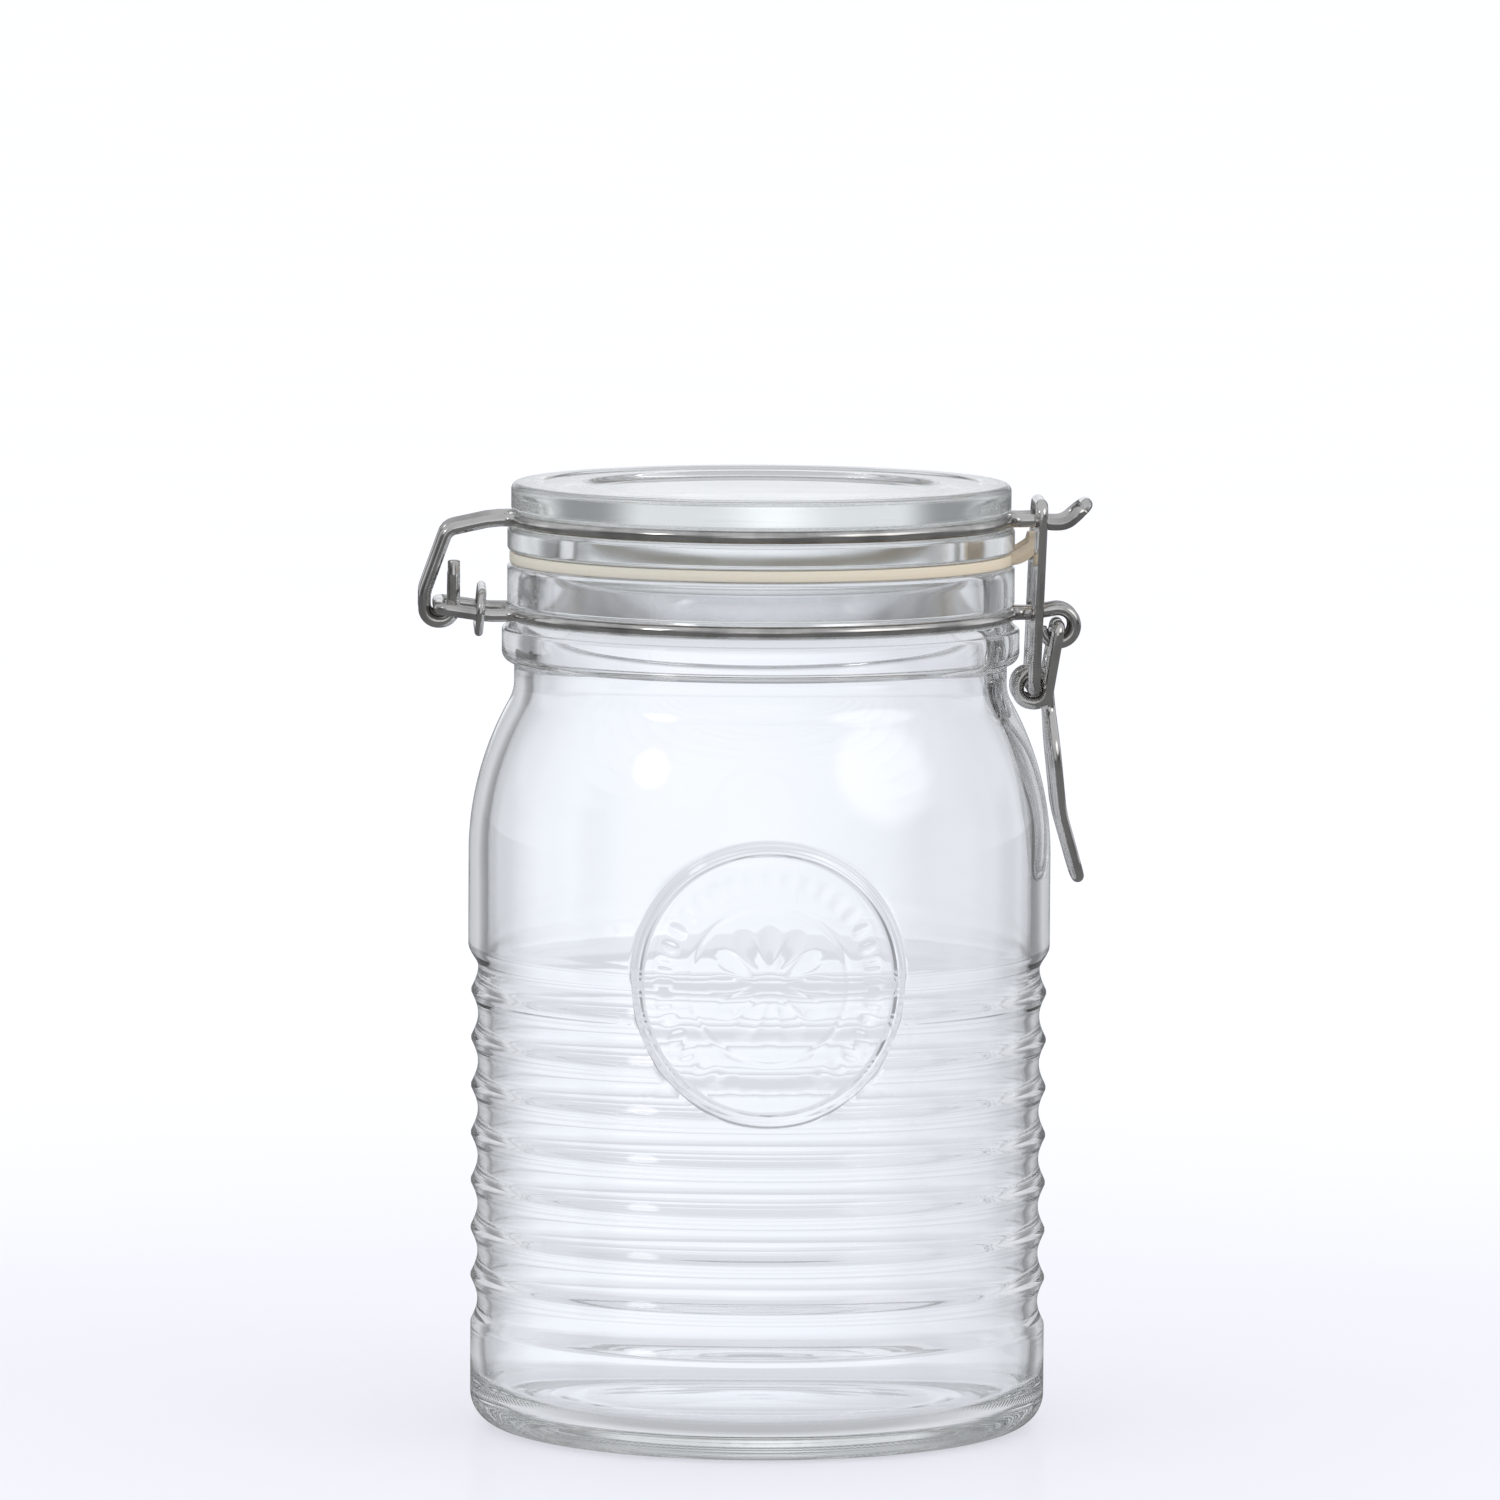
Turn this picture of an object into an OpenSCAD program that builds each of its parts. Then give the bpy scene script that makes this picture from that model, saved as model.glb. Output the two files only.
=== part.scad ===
// Clip-top preserve jar of about one litre: pressed glass jar and lid, rubber
// gasket, and a sprung wire fitting with a hinge on one side and a toggle latch
// on the other. Origin at the centre of the base, Z up, latch towards +X,
// hinge towards -X, medallion towards -Y. Millimetres.

/* [Jar] */
// Height of the glass jar from base to rim
jar_h = 163.5; // [150:0.5:210]
// Diameter of the plain band above the ribs
body_d = 110.1; // [106:0.1:124]
// Thickness of the side wall
wall = 3.6; // [3:0.1:5.6]
// Thickness of the floor at its edge
floor_t = 4.5; // [3.5:0.5:9]
// Height of the dome under the base
punt_h = 2.5; // [1.5:0.5:3]
// Width of the ring that the jar stands on
stand_w = 3.5; // [2.5:0.5:6]
// Radius of the corner between base and side
heel_r = 6; // [4:0.5:8]
// Height of the plain heel below the ribs
heel_h = 18.9; // [14:0.1:26]
// How far the heel and the rib crests lie inside the plain band
rib_inset = 0.6; // [0.2:0.1:1]
// Height of one rib
rib_pitch = 9.07; // [7:0.01:13]
// Depth of the hollow between two rib crests
rib_depth = 1.3; // [0.5:0.1:1.6]
// Width of the flat on each rib crest
rib_crest = 0.4; // [0.2:0.1:1.2]
// Height of the plain band above the ribs, to the nearest whole rib
band_h = 17.1; // [12:0.1:30]
// Height of the shoulder from the plain band to the waist of the neck
shoulder_h = 32.6; // [28:0.1:42]

/* [Neck] */
// Diameter of the rim, the nominal size of the closure
rim_d = 95.8; // [90:0.1:98]
// Height of the rim above the wire groove
rim_h = 7.8; // [6.5:0.1:11]
// Thickness of the rim at the mouth
rim_t = 5.9; // [5:0.1:7.5]
// Depth of the wire groove below the rim diameter
groove_depth = 2.1; // [1.6:0.1:2.6]
// How far the bead under the groove stands out past the rim
bead_out = 1; // [0.4:0.1:1.6]
// Height of the bead
bead_h = 6.8; // [5.5:0.1:8]
// Radius of the bead's round lower edge
bead_round = 2.1; // [1.2:0.1:2.2]
// How far the waist lies inside the rim diameter
waist_in = 1.35; // [0.8:0.05:2]
// Height of the straight waist under the bead
waist_h = 3.7; // [1:0.1:6]
// Radius of the hollow between shoulder and waist
waist_r = 8; // [6:0.5:10]

/* [Medallion] */
// Diameter of the round medallion
medal_d = 53; // [40:0.5:60]
// Height of its centre below the top of the ribs
medal_drop = 1.8; // [0:0.1:8]
// How far its field stands out from the plain band
medal_field = 0.3; // [0.1:0.1:0.8]
// How far its outer rim stands out from the field
medal_rim_h = 0.7; // [0.3:0.1:1]
// Width of the outer rim
medal_rim_w = 2; // [1.4:0.1:3]
// Diameter of the inner rim
medal_inner_d = 31; // [22:0.5:34]
// Width of the inner rim
medal_inner_w = 1.2; // [0.8:0.1:2]
// How far the inner rim stands out from the field
medal_inner_h = 0.3; // [0.2:0.1:0.8]

/* [Gasket] */
// Thickness of the rubber
gasket_t = 2.2; // [1.8:0.1:3.5]
// How far the gasket lies inside the rim diameter
gasket_in = 0.4; // [0.2:0.1:1]
// Gap at each face of the gasket
seal_gap = 0.15; // [0.1:0.05:0.3]
// Width of the pull tab
tab_w = 10; // [6:0.5:12]
// Radius of the tab's upward curl
tab_curl = 3.9; // [3.6:0.1:4.2]
// Height of the tab above its curl
tab_rise = 1; // [0.5:0.1:1.4]

/* [Lid] */
// Height of the glass lid above the gasket
lid_h = 12.8; // [11.5:0.1:16]
// Height of the lower flange
lid_flange_h = 4.6; // [4:0.1:6]
// How far the upper flange lies inside the rim diameter
lid_top_in = 0.7; // [0.3:0.1:1.5]
// Depth of the lid's wire groove below the rim diameter
lid_groove_depth = 2.7; // [2.3:0.1:3.2]
// Diameter of the shallow recess in the top
recess_d = 63; // [40:0.5:76]
// Depth of the recess
recess_depth = 1.3; // [0.6:0.1:2]
// Thickness of the glass at the middle
lid_web = 6; // [4:0.1:7]
// Height of the plug that enters the mouth, below the gasket's seat
plug_h = 5.5; // [4:0.1:7]
// Width of the plug's ring
plug_w = 5; // [3.5:0.1:7]
// Gap between the plug and the mouth
plug_gap = 1.8; // [1.5:0.1:2.5]
// Gap between the plug and the gasket
plug_play = 0.4; // [0.2:0.1:0.8]

/* [Wire] */
// Diameter of the steel wire
wire_d = 2.4; // [2.2:0.05:2.5]
// Gap between a wire ring and its groove
groove_play = 0.2; // [0.15:0.05:0.3]
// Gap between wires that pass side by side
layer_gap = 0.35; // [0.3:0.05:0.5]
// Radius of the bend where a strand leaves a ring
turn_out_r = 3; // [2.5:0.1:4]

/* [Hinge] */
// Reach of the crossbar from the neck ring
hinge_reach = 13.6; // [12:0.1:17]
// Rise of the crossbar above the neck ring
hinge_rise = 1.3; // [0.5:0.1:2.5]
// Distance from the middle to each strand of the hinge loop
hinge_half = 10; // [9.4:0.1:12]
// Distance from the middle to each hook
hook_half = 6.2; // [5:0.1:6.6]
// Gap between the hooks and the crossbar
hook_play = 0.35; // [0.3:0.05:0.5]
// Height of the front hook's end above the crossbar
hook_up_front = 8.9; // [6:0.1:10]
// Height of the rear hook's end above the crossbar
hook_up_rear = 5.9; // [4:0.1:8]
// Height of the knee in the hinge leg above the crossbar
knee_up = 2.7; // [2:0.1:5]
// How far the elbow of the hinge leg lies inside the crossbar
elbow_in = 1.5; // [0.5:0.1:3]
// Drop of the hinge strand from the lid ring to the elbow
elbow_drop = 1.9; // [1:0.1:3]
// Diameter of the clip's wire
clip_d = 1.6; // [1.2:0.1:2]
// Height of the clip
clip_h = 9.1; // [8:0.1:11]
// Distance of the clip from the neck ring
clip_reach = 5.85; // [5.4:0.05:6.6]
// Lean of the clip
clip_lean = 5; // [0:1:8]

/* [Latch] */
// Distance from the middle to each eye of the neck wire
eye_half = 2.8; // [2.6:0.1:4]
// Reach of the lever's pivot from the neck ring
pivot_reach = 8.9; // [8.6:0.1:10]
// Drop of the lever's pivot below the neck ring
pivot_drop = 2.3; // [2.2:0.1:3]
// Play of the lever's pin in the eye
eye_play = 0.75; // [0.5:0.05:0.9]
// Where the eye's wire ends, in degrees round the pivot
eye_end = 190; // [180:5:210]
// Distance between the lever's two pivots
crank_len = 12.65; // [12.2:0.05:14]
// Lean of the crank past its dead centre, in degrees
crank_lean = 22.3; // [20:0.1:24]
// Play of the link's pin in the lever's coil
coil_play = 0.4; // [0.35:0.05:0.6]
// How far the link's crossbar lies outside the lid ring
seat_reach = 6; // [5.6:0.1:6.6]
// Gap between the link's crossbar and the tongue
seat_gap = 0.5; // [0.45:0.05:0.8]
// Depth of the saddle in the tongue
saddle = 0.7; // [0.6:0.05:1]
// Reach of the tongue's tip from the lid ring
tongue_reach = 14.7; // [14:0.1:17]
// Rise of the tongue's tip above the lid ring
tongue_rise = 2.9; // [2:0.1:4]
// Gap between the tongue and the link's arms
tongue_play = 0.7; // [0.5:0.1:1]
// Distance from the middle to each side of the handle
handle_half = 8; // [7:0.1:10]
// Distance from the middle to each corner of the handle's tip
tip_half = 6; // [5:0.1:8]
// Height of the knee in the handle below the lever's pivot
handle_knee = 35; // [30:0.5:42]
// Length of the handle below its knee
tip_len = 13; // [9:0.5:20]
// Flare of the handle's end away from the jar, in degrees
tip_flare = 16; // [8:1:24]
// Gap between the handle and the body
handle_gap = 0.3; // [0.2:0.1:2]

/* [Hidden] */
$fn = 64;

// How much thinner a straight wire is than its bends, and how far it runs into them
slip = 0.02;
lap = 0.2;
// Small radius on glass edges, and points per rounded edge
edge_r = 0.8;
edge_n = 4;

// Jar radii and heights
body_r = body_d / 2;
rib_r = body_r - rib_inset;
rim_r = rim_d / 2;
mouth_r = rim_r - rim_t;
bead_r = rim_r + bead_out;
waist_rad = rim_r - waist_in;
groove_r = wire_d / 2 + groove_play;
neck_ring_r = rim_r - groove_depth + groove_r;
neck_ring_z = jar_h - rim_h - groove_r;
bead_top = neck_ring_z - groove_r - 1.2;
bead_base = bead_top - bead_h;
waist_z = bead_base - waist_h;
shoulder_z = waist_z - shoulder_h;
rib_count = max(1, round((shoulder_z - band_h - heel_h) / rib_pitch));
rib_top = heel_h + rib_count * rib_pitch;
// Radius of the shoulder's arc, so that it meets the waist's hollow without a corner
waist_off = waist_rad + waist_r - body_r;
shoulder_r = (waist_off ^ 2 + shoulder_h ^ 2 - waist_r ^ 2) / (2 * (waist_r - waist_off));
shoulder_x = body_r - shoulder_r;
meet_angle = atan2(shoulder_h, waist_rad + waist_r - shoulder_x);
inner_r = shoulder_r - wall;
inner_end = acos((mouth_r - shoulder_x) / inner_r);
cavity_r = body_r - wall;
stand_r = rib_r - heel_r;
medal_z = rib_top - medal_drop;
// Radius inside the deepest hollow, where the medallion's disc starts
medal_root = rib_r - rib_depth - edge_r / 2;

// Gasket and lid heights
gasket_z = jar_h + seal_gap;
lid_z = gasket_z + gasket_t + seal_gap;
lid_top = lid_z + lid_h;
plug_r = mouth_r - plug_gap;
lid_top_r = rim_r - lid_top_in;
lid_ring_r = rim_r - lid_groove_depth + groove_r;
lid_ring_z = lid_z + lid_flange_h + groove_r;

// Hinge points
hinge_x = neck_ring_r + hinge_reach;
hinge_z = neck_ring_z + hinge_rise;
hook_r = wire_d + hook_play;
clip_half = hinge_half + (wire_d + clip_d) / 2 + groove_play;
clip_up = (clip_h - clip_d) / 2;

// Latch layers, from the middle outwards: eye, lever, link
lever_half = eye_half + wire_d + layer_gap;
link_half = lever_half + wire_d + layer_gap;
tongue_half = link_half - wire_d - tongue_play;
coil_pitch = wire_d + layer_gap;
eye_r = wire_d + eye_play;
coil_r = wire_d + coil_play;

// Latch points in the XZ plane
pivot = [neck_ring_r + pivot_reach, neck_ring_z - pivot_drop];
crank = pivot - crank_len * [sin(crank_lean), cos(crank_lean)];
tongue_z = lid_ring_z + 0.1;
seat = [lid_ring_r + seat_reach, tongue_z + wire_d + seat_gap];
knee = [body_r + wire_d / 2 + handle_gap, pivot.y - handle_knee];
tip = knee + tip_len * [sin(tip_flare), -cos(tip_flare)];

// Points of an arc round c from angle a0 to a1
function arc(c, r, a0, a1, n) =
    [for (i = [0:n]) c + r * [cos(a0 + (a1 - a0) * i / n), sin(a0 + (a1 - a0) * i / n)]];

function unit(v) = v / norm(v);

// Angle of the point where a line from p touches a circle on its +X side
function touch(c, r, p, side) = atan2(p.y - c.y, p.x - c.x) + side * acos(r / norm(p - c));

// A point of the XZ plane moved to a distance y from the middle
function at(p, y) = [p.x, y, p.y];

function flip(points) = [for (i = [len(points) - 1:-1:0]) [points[i].x, -points[i].y, points[i].z]];

// Where a strand at distance half from the middle leaves a ring: centre and angle of its bend
function leave_x(ring_r, half) = sqrt((ring_r + turn_out_r) ^ 2 - (half + turn_out_r) ^ 2);
function leave_a(ring_r, half) = asin((half + turn_out_r) / (ring_r + turn_out_r));

// Distance from a corner to where its bend starts
function setback(p, i, r) =
    i == 0 || i == len(p) - 1 ? 0
    : r / tan(acos(unit(p[i - 1] - p[i]) * unit(p[i + 1] - p[i])) / 2);

// Straight wire from a to b, run on by lap at both ends
module rod(a, b, d) {
    v = b - a;
    translate(a)
        rotate([0, acos(v.z / norm(v)), atan2(v.y, v.x)])
            translate([0, 0, -lap])
                cylinder(d = d - 2 * slip, h = norm(v) + 2 * lap);
}

// Bend of radius r at corner b between the straights from a and to c
module bend(a, b, c, r, d) {
    u = unit(a - b);
    w = unit(c - b);
    half = acos(u * w) / 2;
    o = b + unit(u + w) * r / sin(half);
    x = unit(b + u * r / tan(half) - o);
    z = cross(x, -u);
    multmatrix([[x.x, -u.x, z.x, o.x], [x.y, -u.y, z.y, o.y], [x.z, -u.z, z.z, o.z], [0, 0, 0, 1]])
        rotate_extrude(angle = 180 - 2 * half)
            translate([r, 0]) circle(d = d);
}

// Wire through the points p, with a bend of radius r[i] at each inner corner
module bent_wire(p, r, d) {
    for (i = [1:len(p) - 2]) bend(p[i - 1], p[i], p[i + 1], r[i], d);
    for (i = [0:len(p) - 2]) {
        way = unit(p[i + 1] - p[i]);
        rod(p[i] + way * setback(p, i, r[i]), p[i + 1] - way * setback(p, i + 1, r[i + 1]), d);
    }
}

// Half of a wire ring on the +Y side, with a bend out to a strand at each end
module half_ring(ring_r, front_half, back_half) {
    a0 = leave_a(ring_r, front_half);
    a1 = leave_a(ring_r, back_half);
    run = lap * 180 / (PI * ring_r);
    rotate([0, 0, a0 - run])
        rotate_extrude(angle = 180 - a0 - a1 + 2 * run)
            translate([ring_r, 0]) circle(d = wire_d - 2 * slip);
    turn_out(ring_r, front_half);
    mirror([1, 0, 0]) turn_out(ring_r, back_half);
}

module turn_out(ring_r, half) {
    a = leave_a(ring_r, half);
    translate([leave_x(ring_r, half), half + turn_out_r, 0])
        rotate([0, 0, 180 + a])
            rotate_extrude(angle = 90 - a)
                translate([turn_out_r, 0]) circle(d = wire_d);
}

// Ribs: shallow hollows between narrow crests, the last one running out to the plain band
function rib_points() = [
    for (i = [0:rib_count - 1], k = [0:8])
        let (z0 = heel_h + i * rib_pitch + rib_crest / 2, run = rib_pitch - rib_crest)
            let (out = i == rib_count - 1 ? rib_inset * max(0, k / 4 - 1) : 0)
                [rib_r + out - rib_depth * sin(180 * k / 8), z0 + run * k / 8]
];

function jar_outside() = concat(
    [[0, punt_h], [stand_r - stand_w - 2, 0.8], [stand_r - stand_w, 0]],
    arc([stand_r, heel_r], heel_r, -90, 0, 8),
    rib_points(),
    arc([shoulder_x, shoulder_z], shoulder_r, 0, meet_angle, 16),
    arc([waist_rad + waist_r, waist_z], waist_r, 179 + meet_angle, 180, 6),
    [[waist_rad, bead_base]],
    arc([bead_r - bead_round, bead_base + bead_round], bead_round, -75, 0, 6),
    arc([bead_r - edge_r, bead_top - edge_r], edge_r, 0, 90, edge_n),
    arc([neck_ring_r, neck_ring_z], groove_r, 270, 90, 16),
    arc([rim_r - edge_r, neck_ring_z + groove_r + edge_r], edge_r, -90, 0, edge_n),
    arc([rim_r - edge_r, jar_h - edge_r], edge_r, 0, 90, edge_n)
);

function jar_inside() = concat(
    arc([mouth_r + edge_r, jar_h - edge_r], edge_r, 90, 180, edge_n),
    arc([shoulder_x, shoulder_z], inner_r, inner_end, 0, 14),
    arc([cavity_r - heel_r, floor_t + heel_r], heel_r, 0, -90, 8),
    [[stand_r - stand_w - heel_r, floor_t], [0, floor_t + punt_h / 2]]
);

// Part of a shell round the plain band and the shoulder, inside a cylinder that points to -Y
module wall_disc(d, out) {
    shell = concat(
        [[medal_root, medal_z - medal_d], [body_r + out, medal_z - medal_d]],
        arc([shoulder_x, shoulder_z], shoulder_r + out, 0, 30, 8),
        arc([shoulder_x, shoulder_z], shoulder_r - body_r + medal_root, 30, 0, 8)
    );
    intersection() {
        translate([0, 0, medal_z]) rotate([90, 0, 0]) cylinder(d = d, h = body_r + 10);
        rotate_extrude() polygon(shell);
    }
}

module wall_ring(d, w, out) {
    difference() {
        wall_disc(d, out);
        translate([0, 0, medal_z]) rotate([90, 0, 0]) cylinder(d = d - 2 * w, h = body_r + 12);
    }
}

module jar() {
    color("lightcyan") {
        rotate_extrude() polygon(concat(jar_outside(), jar_inside()));
        wall_disc(medal_d, medal_field);
        wall_ring(medal_d - 1, medal_rim_w, medal_field + medal_rim_h);
        wall_ring(medal_inner_d, medal_inner_w, medal_field + medal_inner_h);
    }
}

module lid() {
    color("azure") rotate_extrude() polygon(concat(
        [[0, lid_top - recess_depth - lid_web], [plug_r - plug_w, lid_top - recess_depth - lid_web]],
        arc([plug_r - plug_w + edge_r, lid_z - plug_h + edge_r], edge_r, 180, 270, edge_n),
        arc([plug_r - edge_r, lid_z - plug_h + edge_r], edge_r, -90, 0, edge_n),
        [[plug_r, lid_z]],
        arc([rim_r - edge_r, lid_z + edge_r], edge_r, -90, 0, edge_n),
        arc([rim_r - edge_r, lid_z + lid_flange_h - edge_r], edge_r, 0, 90, edge_n),
        arc([lid_ring_r, lid_ring_z], groove_r, 270, 90, 16),
        arc([lid_top_r - edge_r, lid_ring_z + groove_r + edge_r], edge_r, -90, 0, edge_n),
        arc([lid_top_r - edge_r, lid_top - edge_r], edge_r, 0, 90, edge_n),
        [[recess_d / 2 + recess_depth, lid_top], [recess_d / 2, lid_top - recess_depth]],
        [[0, lid_top - recess_depth]]
    ));
}

// Flat ring with a pull tab that curls up beside the lid
module gasket() {
    outer = rim_r - gasket_in;
    tab_t = gasket_t - 0.2;
    curl = [rim_r + 0.1, gasket_z + gasket_t / 2 + tab_curl];
    color("bisque") {
        translate([0, 0, gasket_z]) difference() {
            cylinder(r = outer, h = gasket_t);
            translate([0, 0, -1]) cylinder(r = plug_r + plug_play, h = gasket_t + 2);
        }
        translate([0, tab_w / 2, 0]) rotate([90, 0, 0]) linear_extrude(tab_w)
            polygon(concat(
                [[outer - 3, gasket_z + 0.1]],
                arc(curl, tab_curl + tab_t / 2, -90, 0, 10),
                [curl + [tab_curl + tab_t / 2, tab_rise], curl + [tab_curl - tab_t / 2, tab_rise]],
                arc(curl, tab_curl - tab_t / 2, 0, -90, 10),
                [[outer - 3, gasket_z + gasket_t - 0.1]]
            ));
    }
}

// Ring round the lid, with a tongue at the latch and two hooked legs at the hinge
module lid_wire() {
    tongue_end = [lid_ring_r + tongue_reach, lid_ring_z + tongue_rise];
    strand = [
        [leave_x(lid_ring_r, tongue_half), tongue_half, lid_ring_z],
        at([seat.x - 0.8, tongue_z], tongue_half),
        at([seat.x + 1.8, tongue_z - saddle], tongue_half),
        at([seat.x + 4.8, tongue_z - saddle], tongue_half),
        at(tongue_end, tongue_half)
    ];
    radii = [0, 5, 5, 4, 3.4];
    color("silver") {
        for (side = [0, 1]) mirror([0, side, 0])
            translate([0, 0, lid_ring_z]) half_ring(lid_ring_r, tongue_half, hook_half);
        bent_wire(concat(strand, flip(strand)), [for (i = [0:9]) radii[i < 5 ? i : 9 - i]], wire_d);
        hinge_leg(hook_up_rear);
        mirror([0, 1, 0]) hinge_leg(hook_up_front);
    }
}

module hinge_leg(up) {
    low = hinge_z - hook_r;
    bent_wire([
        [-leave_x(lid_ring_r, hook_half), hook_half, lid_ring_z],
        [-lid_ring_r - 4, hook_half, lid_ring_z],
        [elbow_in - hinge_x, hook_half, lid_ring_z - elbow_drop],
        [-hinge_x - hook_r, hook_half, hinge_z + knee_up],
        [-hinge_x - hook_r, hook_half, low],
        [hook_r - hinge_x, hook_half, low],
        [hook_r - hinge_x, hook_half, hinge_z + up]
    ], [0, 12, 2.6, 5, hook_r - 0.2, hook_r - 0.2, 0], wire_d);
}

// Ring round the neck, with the hinge loop at one side and the latch's eyes at the other
module neck_wire() {
    loop = [
        [-leave_x(neck_ring_r, hinge_half), hinge_half, neck_ring_z],
        [-neck_ring_r - 4.6, hinge_half, neck_ring_z],
        [-hinge_x, hinge_half, hinge_z]
    ];
    color("silver") {
        for (side = [0, 1]) mirror([0, side, 0]) {
            translate([0, 0, neck_ring_z]) half_ring(neck_ring_r, eye_half, hinge_half);
            eye_arm();
        }
        bent_wire(concat(loop, flip(loop)), [0, 14, 1.8, 1.8, 14, 0], wire_d);
    }
}

module eye_arm() {
    start = [leave_x(neck_ring_r, eye_half), neck_ring_z];
    a = touch(pivot, eye_r, start + [1, 0], -1);
    run = lap * 180 / (PI * eye_r);
    end = pivot + eye_r * [cos(a), sin(a)];
    bent_wire([at(start, eye_half), at(start + [1, 0], eye_half), at(end, eye_half)], [0, 5, 0], wire_d);
    translate(at(pivot, eye_half))
        rotate([90, 0, 0])
            rotate([0, 0, eye_end - 360])
                rotate_extrude(angle = a + 360 - eye_end)
                    translate([eye_r, 0]) circle(d = wire_d);
}

// Flat oval ring of thinner wire that holds the two strands of the hinge loop
module hinge_clip() {
    across = clip_half - clip_up;
    color("gainsboro")
        translate([-neck_ring_r - clip_reach, 0, neck_ring_z + hinge_rise * 0.4])
            rotate([0, clip_lean, 0])
                for (side = [-1, 1]) {
                    mirror([0, (1 - side) / 2, 0]) translate([0, across, 0]) rotate([0, 90, 0])
                        rotate_extrude(angle = 180)
                            translate([clip_up, 0]) circle(d = clip_d);
                    rod([0, -across, side * clip_up], [0, across, side * clip_up], clip_d);
                }
}

// U of wire from the lever's coils up and over the tongue
module link() {
    arm = [
        at(crank, lever_half - coil_pitch - wire_d / 2 - 0.6),
        at(crank, link_half),
        at(seat, link_half)
    ];
    color("silver") bent_wire(concat(arm, flip(arm)), [0, 1.6, 2, 2, 1.6, 0], wire_d);
}

// Handle with a coil for the link and a pin for the eye on each side
module lever() {
    a_in = touch(crank, coil_r, pivot, -1);
    a_out = touch(crank, coil_r, knee, 1);
    step = (360 - a_out + a_in) / 4;
    coil = [for (k = [0:3])
        at(crank + coil_r / cos(step / 2) * [cos(a_in - (k + 0.5) * step), sin(a_in - (k + 0.5) * step)],
           lever_half - coil_pitch * (k + 0.5) / 4)];
    start = crank + coil_r * [cos(a_out), sin(a_out)];
    way = unit(knee - start);
    side = concat(
        [at(pivot, eye_half - wire_d / 2 - 0.6), at(pivot, lever_half)],
        coil,
        [
            at(start + way * (coil_r + 2), lever_half - coil_pitch),
            at(start + way * (coil_r + 9), handle_half),
            at(knee, handle_half - 0.5),
            at(tip, tip_half)
        ]
    );
    bend_r = coil_r - 0.2;
    radii = concat([0, 1.6], [for (k = [0:3]) bend_r], [3, 6, 14, 3.6]);
    last = 2 * len(side) - 1;
    color("silver")
        bent_wire(concat(side, flip(side)),
                  [for (i = [0:last]) radii[i < len(side) ? i : last - i]], wire_d);
}

jar();
lid();
gasket();
lid_wire();
neck_wire();
hinge_clip();
link();
lever();
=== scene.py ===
import math
import bpy
import numpy as np
from mathutils import Matrix, Vector


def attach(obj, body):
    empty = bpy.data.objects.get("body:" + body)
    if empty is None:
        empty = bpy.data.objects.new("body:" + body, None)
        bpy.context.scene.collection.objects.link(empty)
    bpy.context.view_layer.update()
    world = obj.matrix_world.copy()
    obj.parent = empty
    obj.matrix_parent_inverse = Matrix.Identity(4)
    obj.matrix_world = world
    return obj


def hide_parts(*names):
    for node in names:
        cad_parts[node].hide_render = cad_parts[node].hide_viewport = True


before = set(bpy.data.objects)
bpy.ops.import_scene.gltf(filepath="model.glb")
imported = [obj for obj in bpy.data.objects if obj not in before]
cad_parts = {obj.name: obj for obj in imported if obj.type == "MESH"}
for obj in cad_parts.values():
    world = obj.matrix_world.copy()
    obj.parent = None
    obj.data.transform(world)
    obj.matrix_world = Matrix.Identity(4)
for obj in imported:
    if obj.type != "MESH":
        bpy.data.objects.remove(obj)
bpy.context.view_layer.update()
mm = 0.001
print("frame loaded:", len(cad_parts), "nodes")


def smooth(low, high, value):
    # smooth step: 0 below low, 1 above high, 3t^2 - 2t^3 between
    t = np.clip((value - low) / (high - low), 0, 1)
    return t * t * (3 - 2 * t)


def putMesh(name, points, quads, tris=None, uv=None, sharpAngle=40):
    # points (n, 3) in metres, quads (m, 4) and tris (k, 3) into one smooth mesh; uv per vertex
    tris = np.zeros((0, 3), int) if tris is None else tris
    loops = np.concatenate([quads.ravel(), tris.ravel()])
    total = np.concatenate([np.full(len(quads), 4), np.full(len(tris), 3)])
    start = np.concatenate([[0], np.cumsum(total)[:-1]])
    mesh = bpy.data.meshes.new(name)
    mesh.vertices.add(len(points))
    mesh.vertices.foreach_set("co", np.asarray(points, np.float32).ravel())
    mesh.loops.add(len(loops))
    mesh.loops.foreach_set("vertex_index", loops.astype(np.int32))
    mesh.polygons.add(len(total))
    mesh.polygons.foreach_set("loop_start", start.astype(np.int32))
    mesh.polygons.foreach_set("use_smooth", np.ones(len(total), bool))
    mesh.update(calc_edges=True)
    if uv is not None:
        layer = mesh.uv_layers.new(name="wireUV")
        layer.data.foreach_set("uv", uv[loops].astype(np.float32).ravel())
    mesh.validate()
    mesh.set_sharp_from_angle(angle=math.radians(sharpAngle))
    piece = bpy.data.objects.new(name, mesh)
    bpy.context.scene.collection.objects.link(piece)
    return piece


def gridFaces(rows, columns, offset=0, wrapRows=False):
    # quads of a grid whose columns close on themselves, vertex index = offset + row * columns + column
    i = np.arange(rows if wrapRows else rows - 1)[:, None] * columns
    j = np.arange(columns)[None, :]
    k = (j + 1) % columns
    n = (i + columns) % (rows * columns)
    return np.stack([i + j, i + k, n + k, n + j], -1).reshape(-1, 4) + offset


def arc(centre, radius, startDeg, endDeg, steps):
    # points of a circle's arc: centre + radius * (cos a, sin a), a from start to end
    a = np.radians(np.linspace(startDeg, endDeg, steps + 1))
    return np.stack([centre[0] + radius * np.cos(a), centre[1] + radius * np.sin(a)], -1)


def line(a, b, steps):
    # points from a to b in equal steps, both ends included
    t = np.linspace(0, 1, steps + 1)[:, None]
    return np.asarray(a, float) * (1 - t) + np.asarray(b, float) * t


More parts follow.
